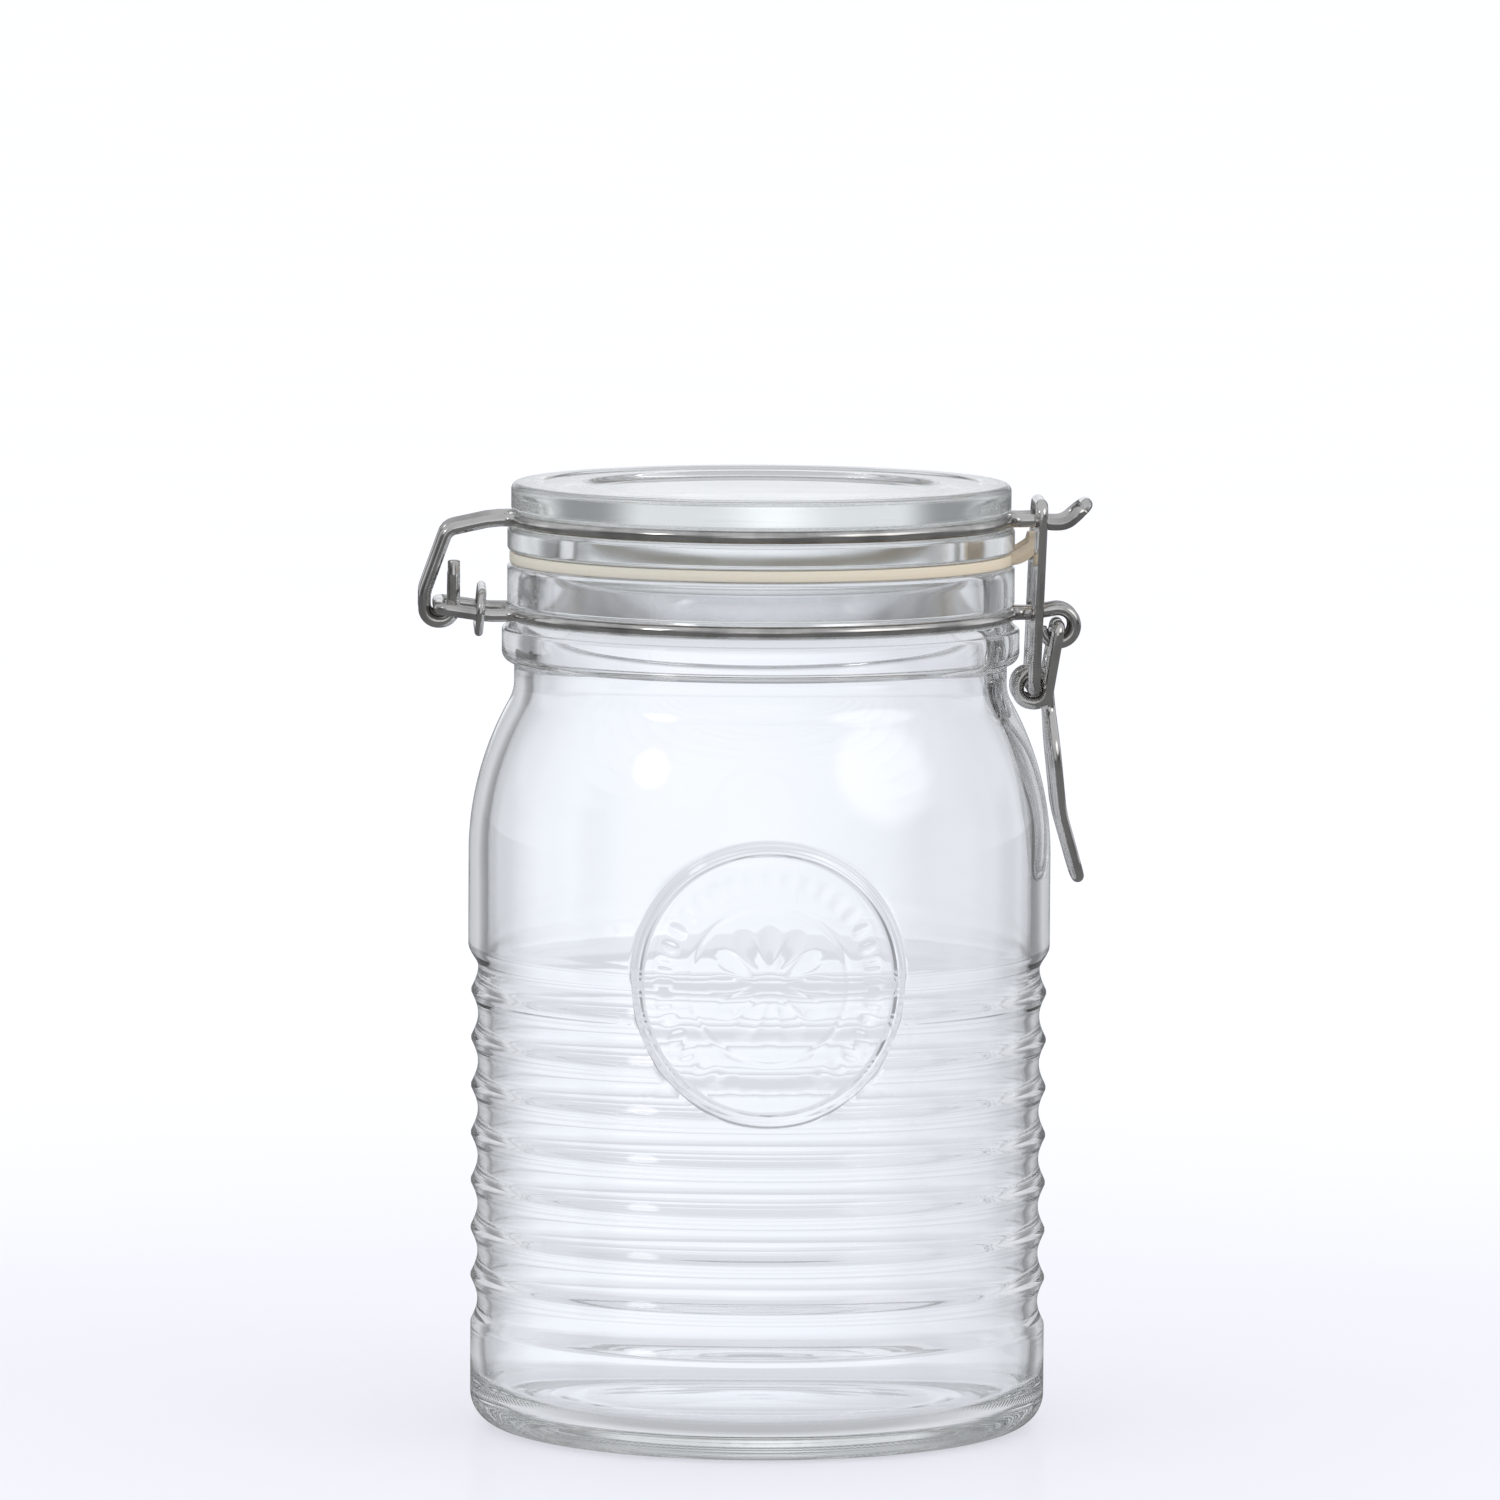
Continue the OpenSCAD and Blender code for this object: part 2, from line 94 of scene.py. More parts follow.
def joined(*parts):
    # one profile from several, with points that repeat taken out
    p = np.concatenate([np.atleast_2d(np.asarray(q, float)) for q in parts])
    keep = np.concatenate([[True], np.linalg.norm(np.diff(p, axis=0), axis=1) > 1e-4])
    return p[keep]


def revolve(name, profile, columns):
    # profile (r, z) in mm turned about Z: x = r cos a, y = r sin a; r = 0 at both ends makes the poles
    a = np.arange(columns) * 2 * math.pi / columns
    body = profile[1:-1]
    x = body[:, :1] * np.cos(a)
    y = body[:, :1] * np.sin(a)
    z = np.repeat(body[:, 1:], columns, 1)
    poles = [[0, 0, profile[0, 1]], [0, 0, profile[-1, 1]]]
    points = np.concatenate([np.stack([x, y, z], -1).reshape(-1, 3), poles])
    return putMesh(name, points * mm, gridFaces(len(body), columns), poleFans(len(body), columns))


def poleFans(rows, columns):
    # triangles that close the first and the last row of a grid onto the two vertices after it
    j = np.arange(columns)
    k = (j + 1) % columns
    low, high = rows * columns, rows * columns + 1
    first = np.stack([k, j, np.full(columns, low)], -1)
    last = np.stack([(rows - 1) * columns + j, (rows - 1) * columns + k, np.full(columns, high)], -1)
    return np.concatenate([first, last])


def newMaterial(name):
    # a material whose node tree is still empty
    material = bpy.data.materials.new(name)
    material.use_nodes = True
    tree = material.node_tree
    tree.nodes.clear()
    return material, tree


def put(tree, kind, **settings):
    # a node with its sockets set: socket names in words, other settings as attributes
    made = tree.nodes.new(kind)
    for key, value in settings.items():
        if key == "inputs":
            for socket, content in value.items():
                if isinstance(content, bpy.types.NodeSocket):
                    tree.links.new(content, made.inputs[socket])
                else:
                    made.inputs[socket].default_value = content
        else:
            setattr(made, key, value)
    return made


def mathNode(tree, operation, *values, clamp=False):
    # the operation on numbers or sockets, in their order
    made = put(tree, "ShaderNodeMath", operation=operation, use_clamp=clamp,
               inputs=dict(enumerate(values)))
    return made.outputs[0]


def ramp(tree, value, low, high, fromValue=0.0, toValue=1.0):
    # a smooth change of level while value goes from low to high
    made = put(tree, "ShaderNodeMapRange", interpolation_type="SMOOTHSTEP", inputs={
        "Value": value, "From Min": low, "From Max": high, "To Min": fromValue, "To Max": toValue})
    return made.outputs[0]


def mixColour(tree, factor, a, b):
    # a * (1 - factor) + b * factor, as in the next two
    return put(tree, "ShaderNodeMix", data_type="RGBA", inputs={0: factor, 6: a, 7: b}).outputs[2]


def mixFloat(tree, factor, a, b):
    return put(tree, "ShaderNodeMix", data_type="FLOAT", inputs={0: factor, 2: a, 3: b}).outputs[0]


def mixShader(tree, factor, a, b):
    return put(tree, "ShaderNodeMixShader", inputs={0: factor, 1: a.outputs[0], 2: b.outputs[0]})


def newGroup(name, ins, outs):
    # inputs with their default values, None for a vector; every output is a plain value
    group = bpy.data.node_groups.new(name, "ShaderNodeTree")
    for socket, value in ins.items():
        kind = "NodeSocketVector" if value is None else "NodeSocketFloat"
        made = group.interface.new_socket(socket, in_out="INPUT", socket_type=kind)
        if value is not None:
            made.default_value = value
    for socket in outs:
        group.interface.new_socket(socket, in_out="OUTPUT", socket_type="NodeSocketFloat")
    return group, group.nodes.new("NodeGroupInput").outputs, group.nodes.new("NodeGroupOutput").inputs


def studioPanels():
    # how bright the studio is in one direction: panels all round, each with a peak and a gap beside it; a
    # ceiling, a table and what lies under it by the direction's Z, a wall in front and behind by its Y
    tree, into, out = newGroup("studioPanels", {
        "Direction": None, "Count": 5.0, "Gap Level": 0.3, "Side Level": 1.0, "Gap Start": -0.85,
        "Gap End": 0.2, "Peak Level": 1.0, "Peak Start": 0.7, "Peak Power": 1.0, "Low Share": 1.0,
        "Turned": 0.0, "Top Level": 0.3, "Top Start": 0.12, "Top End": 0.62, "Low Level": 0.9,
        "Low Start": -0.12, "Low End": -0.3, "Under Level": 0.5, "Under Start": -0.4,
        "Under End": -0.8, "Front Level": 0.8, "Front Start": -0.3, "Front End": -0.8,
        "Back Level": 1.0, "Back Start": 2.0, "Back End": 3.0}, ["Level"])
    parts = put(tree, "ShaderNodeSeparateXYZ", inputs={0: into["Direction"]})
    turn = mathNode(tree, "ARCTAN2", parts.outputs[0], parts.outputs[1])
    turn = mathNode(tree, "ADD", turn, into["Turned"])
    wave = mathNode(tree, "COSINE", mathNode(tree, "MULTIPLY", turn, into["Count"]))
    level = ramp(tree, wave, into["Gap Start"], into["Gap End"], into["Gap Level"], into["Side Level"])
    near = put(tree, "ShaderNodeMapRange", inputs={
        "Value": wave, "From Min": into["Peak Start"], "From Max": 1.0}).outputs[0]
    near = mathNode(tree, "POWER", near, into["Peak Power"])
    peak = mathNode(tree, "SUBTRACT", into["Peak Level"], into["Side Level"])
    level = mathNode(tree, "ADD", level, mathNode(tree, "MULTIPLY", near, peak))
    # the panels are dimmer below the table's height
    share = ramp(tree, parts.outputs[2], -0.1, -0.17, 1.0, into["Low Share"])
    level = mathNode(tree, "MULTIPLY", level, share)
    for place, axis in (("Top", 2), ("Low", 2), ("Under", 2), ("Front", 1), ("Back", 1)):
        there = put(tree, "ShaderNodeMapRange", interpolation_type="LINEAR", inputs={
            "Value": parts.outputs[axis], "From Min": into[place + " Start"],
            "From Max": into[place + " End"]}).outputs[0]
        level = mixFloat(tree, there, level, into[place + " Level"])
    tree.links.new(level, out["Level"])
    return tree


# the fine waves are the broad ones, scaled, squeezed and given a share; lengths in metres
pressedLook = {
    "squeeze": 3.4, "fineScale": 2.2, "fineShare": 0.15, "calmSpan": 0.02, "neckInside": (0.0455, 0.0435)}


def pressedGlass(look):
    # faint waviness of pressed glass and a knurled band as a height, and a mask of the neck's matt inside
    tree, into, out = newGroup("pressedGlass", {
        "Position": None, "Wave Size": 0.03, "Wave Height": 1.0, "Knurl Count": 300.0,
        "Knurl Low": 0.0, "Knurl High": 0.003, "Knurl Radius": 0.04, "Knurl Height": 0.3,
        "Calm Above": 0.14, "Matt From": 0.15, "Matt Full": 0.16}, ["Height", "Matt"])
    scale = mathNode(tree, "DIVIDE", 1.0, into["Wave Size"])
    broad = put(tree, "ShaderNodeTexNoise", inputs={
        "Vector": into["Position"], "Scale": scale, "Detail": 1.5, "Roughness": 0.4})
    flat = put(tree, "ShaderNodeMapping", inputs={
        "Vector": into["Position"], "Scale": (1, 1, look["squeeze"])})
    fine = put(tree, "ShaderNodeTexNoise", inputs={
        "Vector": flat.outputs[0], "Scale": mathNode(tree, "MULTIPLY", scale, look["fineScale"]),
        "Detail": 1.0, "Roughness": 0.4})
    fine = mathNode(tree, "MULTIPLY", fine.outputs[0], look["fineShare"])
    waves = mathNode(tree, "ADD", broad.outputs[0], fine)
    parts = put(tree, "ShaderNodeSeparateXYZ", inputs={0: into["Position"]})
    x, y, z = parts.outputs
    calmFrom = mathNode(tree, "SUBTRACT", into["Calm Above"], look["calmSpan"])
    waves = mathNode(tree, "MULTIPLY", waves, ramp(
        tree, z, calmFrom, into["Calm Above"], into["Wave Height"], 0.0))
    turn = mathNode(tree, "ARCTAN2", y, x)
    teeth = mathNode(tree, "SINE", mathNode(tree, "MULTIPLY", turn, into["Knurl Count"]))
    across = put(tree, "ShaderNodeCombineXYZ", inputs={0: x, 1: y}).outputs[0]
    radius = put(tree, "ShaderNodeVectorMath", operation="LENGTH", inputs={0: across}).outputs["Value"]
    above = mathNode(tree, "GREATER_THAN", z, into["Knurl Low"])
    below = mathNode(tree, "LESS_THAN", z, into["Knurl High"])
    outward = mathNode(tree, "GREATER_THAN", radius, into["Knurl Radius"])
    inBand = mathNode(tree, "MULTIPLY", mathNode(tree, "MULTIPLY", above, below), outward)
    knurl = mathNode(tree, "MULTIPLY", mathNode(tree, "MULTIPLY", teeth, inBand), into["Knurl Height"])
    tree.links.new(mathNode(tree, "ADD", waves, knurl), out["Height"])
    inner = ramp(tree, radius, *look["neckInside"])
    matt = ramp(tree, z, into["Matt From"], into["Matt Full"])
    tree.links.new(mathNode(tree, "MULTIPLY", matt, inner), out["Matt"])
    return tree


panels = studioPanels()
pressed = pressedGlass(pressedLook)


def glassMaterial(name, look):
    # clear pressed glass: plain transmission, a thin tint, and painted shade: a darker colour where the
    # surface turns edge-on
    material, tree = newMaterial(name)
    place = put(tree, "ShaderNodeTexCoord").outputs["Object"]
    relief = put(tree, "ShaderNodeGroup", node_tree=pressed, inputs={
        "Position": place, "Wave Size": look["waveSize"], "Wave Height": look["waveHeight"],
        "Knurl Count": look["knurlCount"], "Knurl Low": look["knurlBand"][0],
        "Knurl High": look["knurlBand"][1], "Knurl Radius": look["knurlRadius"],
        "Knurl Height": look["knurlHeight"], "Calm Above": look["calmAbove"],
        "Matt From": look["mattZone"][0], "Matt Full": look["mattZone"][1]})
    bump = put(tree, "ShaderNodeBump", inputs={
        "Strength": look["bump"], "Distance": 0.001, "Height": relief.outputs[0]})
    # painted shade: the colour darkens where the surface turns edge-on, in place of the dark surroundings
    # seen there
    edgeOn = put(tree, "ShaderNodeLayerWeight", inputs={"Blend": 0.5}).outputs["Facing"]
    rim = ramp(tree, edgeOn, look["rimStart"], 1.0)
    specks = put(tree, "ShaderNodeTexNoise", inputs={"Vector": place, "Scale": 90.0, "Detail": 3.0})
    smear = ramp(tree, specks.outputs[0], 0.45, 0.75, *look["roughness"])
    smear = mathNode(tree, "ADD", smear, mathNode(tree, "MULTIPLY", relief.outputs["Matt"], look["matt"]))
    shader = put(tree, "ShaderNodeBsdfPrincipled", inputs={
        "Base Color": mixColour(tree, rim, (*look["clear"], 1), (*look["rim"], 1)),
        "Roughness": smear, "IOR": 1.5, "Transmission Weight": 1.0, "Metallic": 0.0,
        "Normal": bump.outputs[0]})
    depth = put(tree, "ShaderNodeVolumeAbsorption", inputs={
        "Color": (*look["depthTint"], 1), "Density": look["depth"]})
    put(tree, "ShaderNodeOutputMaterial", inputs={
        "Surface": shader.outputs[0], "Volume": depth.outputs[0]})
    return material


# the second colour of each glass is painted shade, which the glass takes on where it turns edge-on
jarGlass = {
    "clear": (0.975, 0.982, 0.998), "rim": (0.96, 0.967, 0.98), "rimStart": 0.6,
    "roughness": (0.0, 0.03), "mattZone": (0.152, 0.157), "matt": 0.07,
    "bump": 0.12, "waveSize": 0.026, "waveHeight": 0.4, "calmAbove": 0.14,
    "knurlCount": 260.0, "knurlBand": (0.0004, 0.0032), "knurlRadius": 0.046, "knurlHeight": 0.16,
    "depthTint": (0.90, 0.93, 0.88), "depth": 4.0}
lidGlass = {
    "clear": (0.975, 0.984, 0.988), "rim": (0.94, 0.95, 0.95), "rimStart": 0.6,
    "roughness": (0.01, 0.06), "mattZone": (0.1745, 0.172), "matt": 0.1,
    "bump": 0.08, "waveSize": 0.02, "waveHeight": 0.5, "calmAbove": 0.3,
    "knurlCount": 380.0, "knurlBand": (0.1772, 0.1790), "knurlRadius": 0.0445, "knurlHeight": 0.12,
    "depthTint": (0.85, 0.93, 0.88), "depth": 2.5}
jarMaterial = glassMaterial("clearJarGlass", jarGlass)
lidMaterial = glassMaterial("clearLidGlass", lidGlass)

rubberLook = {
    "pale": (0.97, 0.90, 0.78), "deep": (0.95, 0.79, 0.59), "roughness": (0.42, 0.6), "mottle": 38.0,
    "grain": 2600.0, "grainShare": 0.5, "rings": (0.2, 0.2, 60.0), "ringScale": 40.0,
    "agedZone": (-0.03, 0.055), "agedShare": 0.75, "bump": 0.15,
    "inside": 0.25, "insideReach": (1.0, 0.6, 0.35), "insideScale": 0.0015}


def rubberMaterial(look):
    # cream gasket rubber: deeper towards the latch, softly mottled, a fine grain, a little light inside
    material, tree = newMaterial("creamRubber")
    place = put(tree, "ShaderNodeTexCoord").outputs["Object"]
    mottle = put(tree, "ShaderNodeTexNoise", inputs={
        "Vector": place, "Scale": look["mottle"], "Detail": 3.0})
    grain = put(tree, "ShaderNodeTexNoise", inputs={
        "Vector": place, "Scale": look["grain"], "Detail": 2.0})
    rings = put(tree, "ShaderNodeMapping", inputs={"Vector": place, "Scale": look["rings"]})
    moulded = put(tree, "ShaderNodeTexNoise", inputs={
        "Vector": rings.outputs[0], "Scale": look["ringScale"], "Detail": 1.0})
    grained = mathNode(tree, "MULTIPLY", grain.outputs[0], look["grainShare"])
    height = mathNode(tree, "ADD", grained, moulded.outputs[0])
    side = put(tree, "ShaderNodeSeparateXYZ", inputs={0: place}).outputs[0]
    aged = mathNode(tree, "MULTIPLY", ramp(tree, side, *look["agedZone"]), look["agedShare"])
    mottled = mathNode(tree, "MULTIPLY", mottle.outputs[0], 1 - look["agedShare"])
    blend = mathNode(tree, "ADD", aged, mottled, clamp=True)
    bump = put(tree, "ShaderNodeBump", inputs={
        "Strength": look["bump"], "Distance": 0.0002, "Height": height})
    shader = put(tree, "ShaderNodeBsdfPrincipled", inputs={
        "Base Color": mixColour(tree, blend, (*look["pale"], 1), (*look["deep"], 1)),
        "Roughness": ramp(tree, mottle.outputs[0], 0.3, 0.7, *look["roughness"]),
        "Subsurface Weight": look["inside"], "Subsurface Radius": look["insideReach"],
        "Subsurface Scale": look["insideScale"], "Normal": bump.outputs[0]})
    put(tree, "ShaderNodeOutputMaterial", inputs={"Surface": shader.outputs[0]})
    return material


steelLook = {
    "bright": (0.60, 0.585, 0.57), "dull": (0.42, 0.41, 0.40), "roughness": (0.08, 0.17), "lines": 26.0,
    "stretch": 0.02, "patches": 130.0, "dullZone": (0.42, 0.7), "nicks": 1500.0, "nickShare": 0.25,
    "bump": 0.12}


def drawnWire(look):
    # die lines that run along a drawn wire, and a mask of where handling has dulled it
    tree, into, out = newGroup("drawnWire", {
        "Around And Along": None, "Position": None, "Lines": look["lines"]}, ["Height", "Dull"])
    stretched = put(tree, "ShaderNodeMapping", inputs={
        "Vector": into["Around And Along"], "Scale": (1.0, look["stretch"], 1.0)})
    lines = put(tree, "ShaderNodeTexNoise", inputs={
        "Vector": stretched.outputs[0], "Scale": into["Lines"], "Detail": 4.0, "Roughness": 0.6})
    patches = put(tree, "ShaderNodeTexNoise", inputs={
        "Vector": into["Position"], "Scale": look["patches"], "Detail": 3.0})
    nicks = put(tree, "ShaderNodeTexNoise", inputs={
        "Vector": into["Position"], "Scale": look["nicks"], "Detail": 1.0})
    nicks = mathNode(tree, "MULTIPLY", nicks.outputs[0], look["nickShare"])
    tree.links.new(mathNode(tree, "ADD", lines.outputs[0], nicks), out["Height"])
    tree.links.new(ramp(tree, patches.outputs[0], *look["dullZone"]), out["Dull"])
    return tree


def steelMaterial(look):
    # drawn bright steel: the die lines as a bump, duller and rougher where it has been handled
    material, tree = newMaterial("drawnSteel")
    coords = put(tree, "ShaderNodeTexCoord").outputs
    wire = put(tree, "ShaderNodeGroup", node_tree=drawnWire(look), inputs={
        "Around And Along": coords["UV"], "Position": coords["Object"], "Lines": look["lines"]})
    bump = put(tree, "ShaderNodeBump", inputs={
        "Strength": look["bump"], "Distance": 0.0002, "Height": wire.outputs["Height"]})
    shader = put(tree, "ShaderNodeBsdfPrincipled", inputs={
        "Base Color": mixColour(tree, wire.outputs["Dull"], (*look["bright"], 1), (*look["dull"], 1)),
        "Metallic": 1.0, "Roughness": ramp(tree, wire.outputs["Dull"], 0.0, 1.0, *look["roughness"]),
        "Normal": bump.outputs[0]})
    put(tree, "ShaderNodeOutputMaterial", inputs={"Surface": shader.outputs[0]})
    return material


rubber = rubberMaterial(rubberLook)
steel = steelMaterial(steelLook)
print("materials made")


def finish(piece, material, body, slot, *nodes):
    # material and body of a piece, and the CAD nodes that it stands for; the slot is not used
    piece.data.materials.append(material)
    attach(piece, body)
    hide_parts(*nodes)
    print("made", piece.name, len(piece.data.polygons), "faces")


# sizes of the pieces are in mm
jar = {
    "height": 163.5, "bodyR": 55.05, "wall": 3.6, "floor": 4.5, "edgeR": 0.8, "columns": 208,
    "punt": 2.5, "puntR": 378.0, "puntTurn": 5.52, "landFrom": [[38.2, 1.1], [39.5, 1.0]],
    "landTo": [[-1.6, 0.8], [-0.5, 0.25], [0.2, 0.0]], "standWidth": 3.5, "heelR": 6.0, "heelTop": 18.9,
    "ribs": 8, "ribPitch": 9.07, "ribDepth": 1.3, "ribCrest": 0.4, "ribInset": 0.6, "ribRows": 13,
    "ribEnd": 1.5, "innerDepth": 0.55, "innerRows": 10, "shoulderRise": 32.6, "hollowR": 8.0,
    "waistR": 46.55, "waistHeight": 3.7, "beadR": 48.9, "beadHeight": 6.8, "beadRound": 2.1, "beadGap": 1.2,
    "wireRingR": 47.2, "grooveR": 1.4, "rimR": 47.9, "rimHeight": 7.8, "mouthR": 42.0, "taper": 9.0}
medal = {
    "radius": 26.5, "below": 1.8, "room": 1.2, "field": 0.3, "edgeSlope": (0.3, -0.25),
    "rimOut": 26.0, "rimIn": 24.0, "rimRise": 0.55, "innerOut": 15.5, "innerIn": 14.3, "innerRise": 0.1,
    "ridgeFoot": (-0.2, 0.5), "ridgeBack": (0.4, -1.6),
    "beads": 36, "beadAt": 19.8, "beadLong": 3.9, "beadWide": 1.15, "beadRise": 0.09,
    "petals": 12, "petalFrom": 3.4, "petalTo": 11.4, "petalShare": 0.86, "petalRise": 0.07, "eye": 2.2,
    "rings": ((0.7, 11.8, 17), (12.6, 17.2, 14), (17.4, 22.4, 12), (22.8, 26.4, 14)),
    "edgeRings": (26.5, 26.65, 26.9), "ringsBeyond": 12}

neckZ = jar["height"] - jar["rimHeight"] - jar["grooveR"]
beadTop = neckZ - jar["grooveR"] - jar["beadGap"]
beadBase = beadTop - jar["beadHeight"]
ribTop = jar["heelTop"] + jar["ribs"] * jar["ribPitch"]
ribR = jar["bodyR"] - jar["ribInset"]
standR = ribR - jar["heelR"]
waistZ = beadBase - jar["waistHeight"]
shoulderZ = waistZ - jar["shoulderRise"]
waistOff = jar["waistR"] + jar["hollowR"] - jar["bodyR"]
shoulderR = (waistOff ** 2 + jar["shoulderRise"] ** 2 - jar["hollowR"] ** 2) / (
    2 * (jar["hollowR"] - waistOff))
shoulderX = jar["bodyR"] - shoulderR
hollowX = jar["waistR"] + jar["hollowR"]
meetAngle = math.degrees(math.atan2(jar["shoulderRise"], hollowX - shoulderX))
medalZ = ribTop - medal["below"]


def ribProfile():
    # rows of hollows: r = rib radius - depth * sin(180 t); the last one eases out to the plain band
    t = np.linspace(0, 1, jar["ribRows"])[None, :]
    row = np.arange(jar["ribs"])[:, None]
    start = jar["heelTop"] + jar["ribPitch"] * row + jar["ribCrest"] / 2
    z = start + (jar["ribPitch"] - jar["ribCrest"]) * t
    r = ribR - jar["ribDepth"] * np.sin(np.pi * t)
    eased = ribR - jar["ribDepth"] + (jar["ribDepth"] + jar["ribInset"]) * smooth(0.5, 1, t)
    r = np.where((row == jar["ribs"] - 1) & (t > 0.5), eased, r)
    return np.stack([r.ravel(), z.ravel()], -1)


def innerRibs():
    # the inside follows the ribs, with rounder crests: r = cavity radius - depth * (1 - cos 360 t) / 2
    end, last = jar["ribEnd"], jar["ribs"]
    z = np.arange(ribTop + end, jar["heelTop"] - end, -jar["ribPitch"] / jar["innerRows"])
    t = (z - jar["heelTop"]) / jar["ribPitch"]
    fade = smooth(-0.15, 0.15, t) * smooth(last + 0.15, last - 0.15, t)
    hollow = jar["innerDepth"] * (1 - np.cos(2 * np.pi * t)) / 2
    inset = jar["ribInset"] * smooth(last, last - 0.7, t)
    return np.stack([jar["bodyR"] - jar["wall"] - fade * (hollow + inset), z], -1)


def jarProfile():
    # outside from the middle of the base up to the rim, then inside down to the middle of the floor
    e, heel, bead, groove = jar["edgeR"], jar["heelR"], jar["beadRound"], jar["grooveR"]
    landFrom, landTo = jar["landFrom"], jar["landTo"] + np.array([standR - jar["standWidth"], 0])
    outside = joined(
        # base: punt, a narrow land, standing ring and heel
        arc([0, jar["punt"] - jar["puntR"]], jar["puntR"], 90, 90 - jar["puntTurn"], 8),
        landFrom[0], line(landFrom[1], landTo[0], 2), landTo[1:], arc([standR, heel], heel, -90, 0, 12),
        # side: ribs, plain band, shoulder and the hollow bend above it
        line([ribR, heel], [ribR, jar["heelTop"]], 9), ribProfile(),
        line([jar["bodyR"], ribTop + jar["ribEnd"]], [jar["bodyR"], shoulderZ], 16),
        arc([shoulderX, shoulderZ], shoulderR, 0, meetAngle, 26),
        arc([hollowX, waistZ], jar["hollowR"], 179 + meetAngle, 180, 8),
        # neck: waist, bead, wire groove and rim
        line([jar["waistR"], waistZ + 1], [jar["waistR"], beadBase], 3),
        arc([jar["beadR"] - bead, beadBase + bead], bead, -75, 0, 9),
        arc([jar["beadR"] - e, beadTop - e], e, 0, 90, 5),
        arc([jar["wireRingR"], neckZ], groove, 270, 90, 14),
        arc([jar["rimR"] - e, neckZ + groove + e], e, -90, 0, 4),
        arc([jar["rimR"] - e, jar["height"] - e], e, 0, 90, 5))
    cavityR = jar["bodyR"] - jar["wall"]
    bend = jar["hollowR"] + jar["wall"]
    taper = np.linspace(1, 0, 10)
    bore = hollowX - bend + (jar["mouthR"] - hollowX + bend) * smooth(0, 1, taper)
    inside = joined(
        # mouth, a taper to the bore, the hollow bend and the shoulder
        arc([jar["mouthR"] + e, jar["height"] - e], e, 90, 180, 5),
        line([jar["mouthR"], jar["height"] - 3], [jar["mouthR"], waistZ + jar["taper"] + 1], 4),
        np.stack([bore, waistZ + jar["taper"] * taper], -1),
        arc([hollowX, waistZ], bend, 180, 180 + meetAngle, 12),
        arc([shoulderX, shoulderZ], shoulderR - jar["wall"], meetAngle, 0, 22),
        # cavity down to its floor
        line([cavityR, shoulderZ - 4], [cavityR, ribTop + 3], 4), innerRibs(),
        arc([cavityR - heel, jar["floor"] + heel], heel, 0, -90, 12),
        line([cavityR - heel - 2, jar["floor"] + 0.05], [0, jar["floor"] + jar["punt"] / 2], 5))
    return outside, inside


def medalRelief(rho, phi):
    # height over the plain band: field, two rounded rims, a ring of beads and a rosette of petals
    foot, back = medal["ridgeFoot"], medal["ridgeBack"]

    def ridge(inner, outer):
        return smooth(inner + foot[0], inner + foot[1], rho) * smooth(outer + back[0], outer + back[1], rho)
    up = medal["field"] + medal["rimRise"] * ridge(medal["rimIn"], medal["rimOut"])
    up = up + medal["innerRise"] * ridge(medal["innerIn"], medal["innerOut"])
    step = 2 * np.pi / medal["beads"]
    across = (np.mod(phi + step / 2, step) - step / 2) * rho
    bead = (across / medal["beadWide"]) ** 2 + ((rho - medal["beadAt"]) / (medal["beadLong"] / 2)) ** 2
    up = up + medal["beadRise"] * np.sqrt(np.clip(1 - bead, 0, 1))
    step = 2 * np.pi / medal["petals"]
    turn = (np.mod(phi + step / 2, step) - step / 2) / (step / 2)
    along = (rho - medal["petalFrom"]) / (medal["petalTo"] - medal["petalFrom"])
    petal = np.clip(1 - (turn / medal["petalShare"]) ** 2 - (2 * along - 1) ** 2, 0, 1)
    up = up + medal["petalRise"] * np.sqrt(petal)
    return up + medal["petalRise"] * np.sqrt(np.clip(1 - (rho / medal["eye"]) ** 2, 0, 1))


def medalBorder(outer, step):
    # the rectangle of whole cells just larger than the disc, and its edge as rows and columns of the grid,
    # anticlockwise as seen from outside, columns counted from the middle
    reach = medal["radius"] + medal["room"]
    low = np.where(outer[:, 1] < medalZ - reach)[0].max()
    high = np.where(outer[:, 1] > medalZ + reach)[0].min()
    half = int(math.ceil(reach / jar["bodyR"] / step)) + 1
    across, upward = np.arange(-half, half), np.arange(low, high)
    wide, tall = 2 * half, high - low
    row = np.concatenate([np.full(wide, low), upward, np.full(wide, high), upward[::-1] + 1])
    column = np.concatenate([across, np.full(tall, half), -across, np.full(tall, -half)])
    return low, high, half, row, column


def medalPatch(flatX, flatZ, outer):
    # spokes from the disc's middle to the border points (flatX, flatZ), with points at distances rho: over
    # the disc r = shoulder's radius at z + relief, beyond it r = the wall's, and a steep step between
    phi, far = np.arctan2(flatZ, flatX), np.hypot(flatX, flatZ)
    rings = np.concatenate([np.linspace(*zone) for zone in medal["rings"]] + [medal["edgeRings"]])
    rings = np.round(rings, 3)
    share = np.linspace(0, 1, medal["ringsBeyond"] + 1)[1:-1, None] ** 0.9
    rho = np.concatenate([np.repeat(rings[:, None], len(phi), 1), rings[-1] + share * (far - rings[-1])])
    z = medalZ + rho * np.sin(phi)
    a = rho * np.cos(phi) / jar["bodyR"] - math.pi / 2
    wall = np.interp(z, outer[:, 1], outer[:, 0])
    rise = np.clip(z - shoulderZ, 0, None)
    disc = shoulderX + np.sqrt(shoulderR ** 2 - rise ** 2) + medalRelief(rho, phi)
    beyond, within = medal["edgeSlope"]
    r = wall + (disc - wall) * smooth(medal["radius"] + beyond, medal["radius"] + within, rho)
    return np.stack([r * np.cos(a), r * np.sin(a), z], -1)


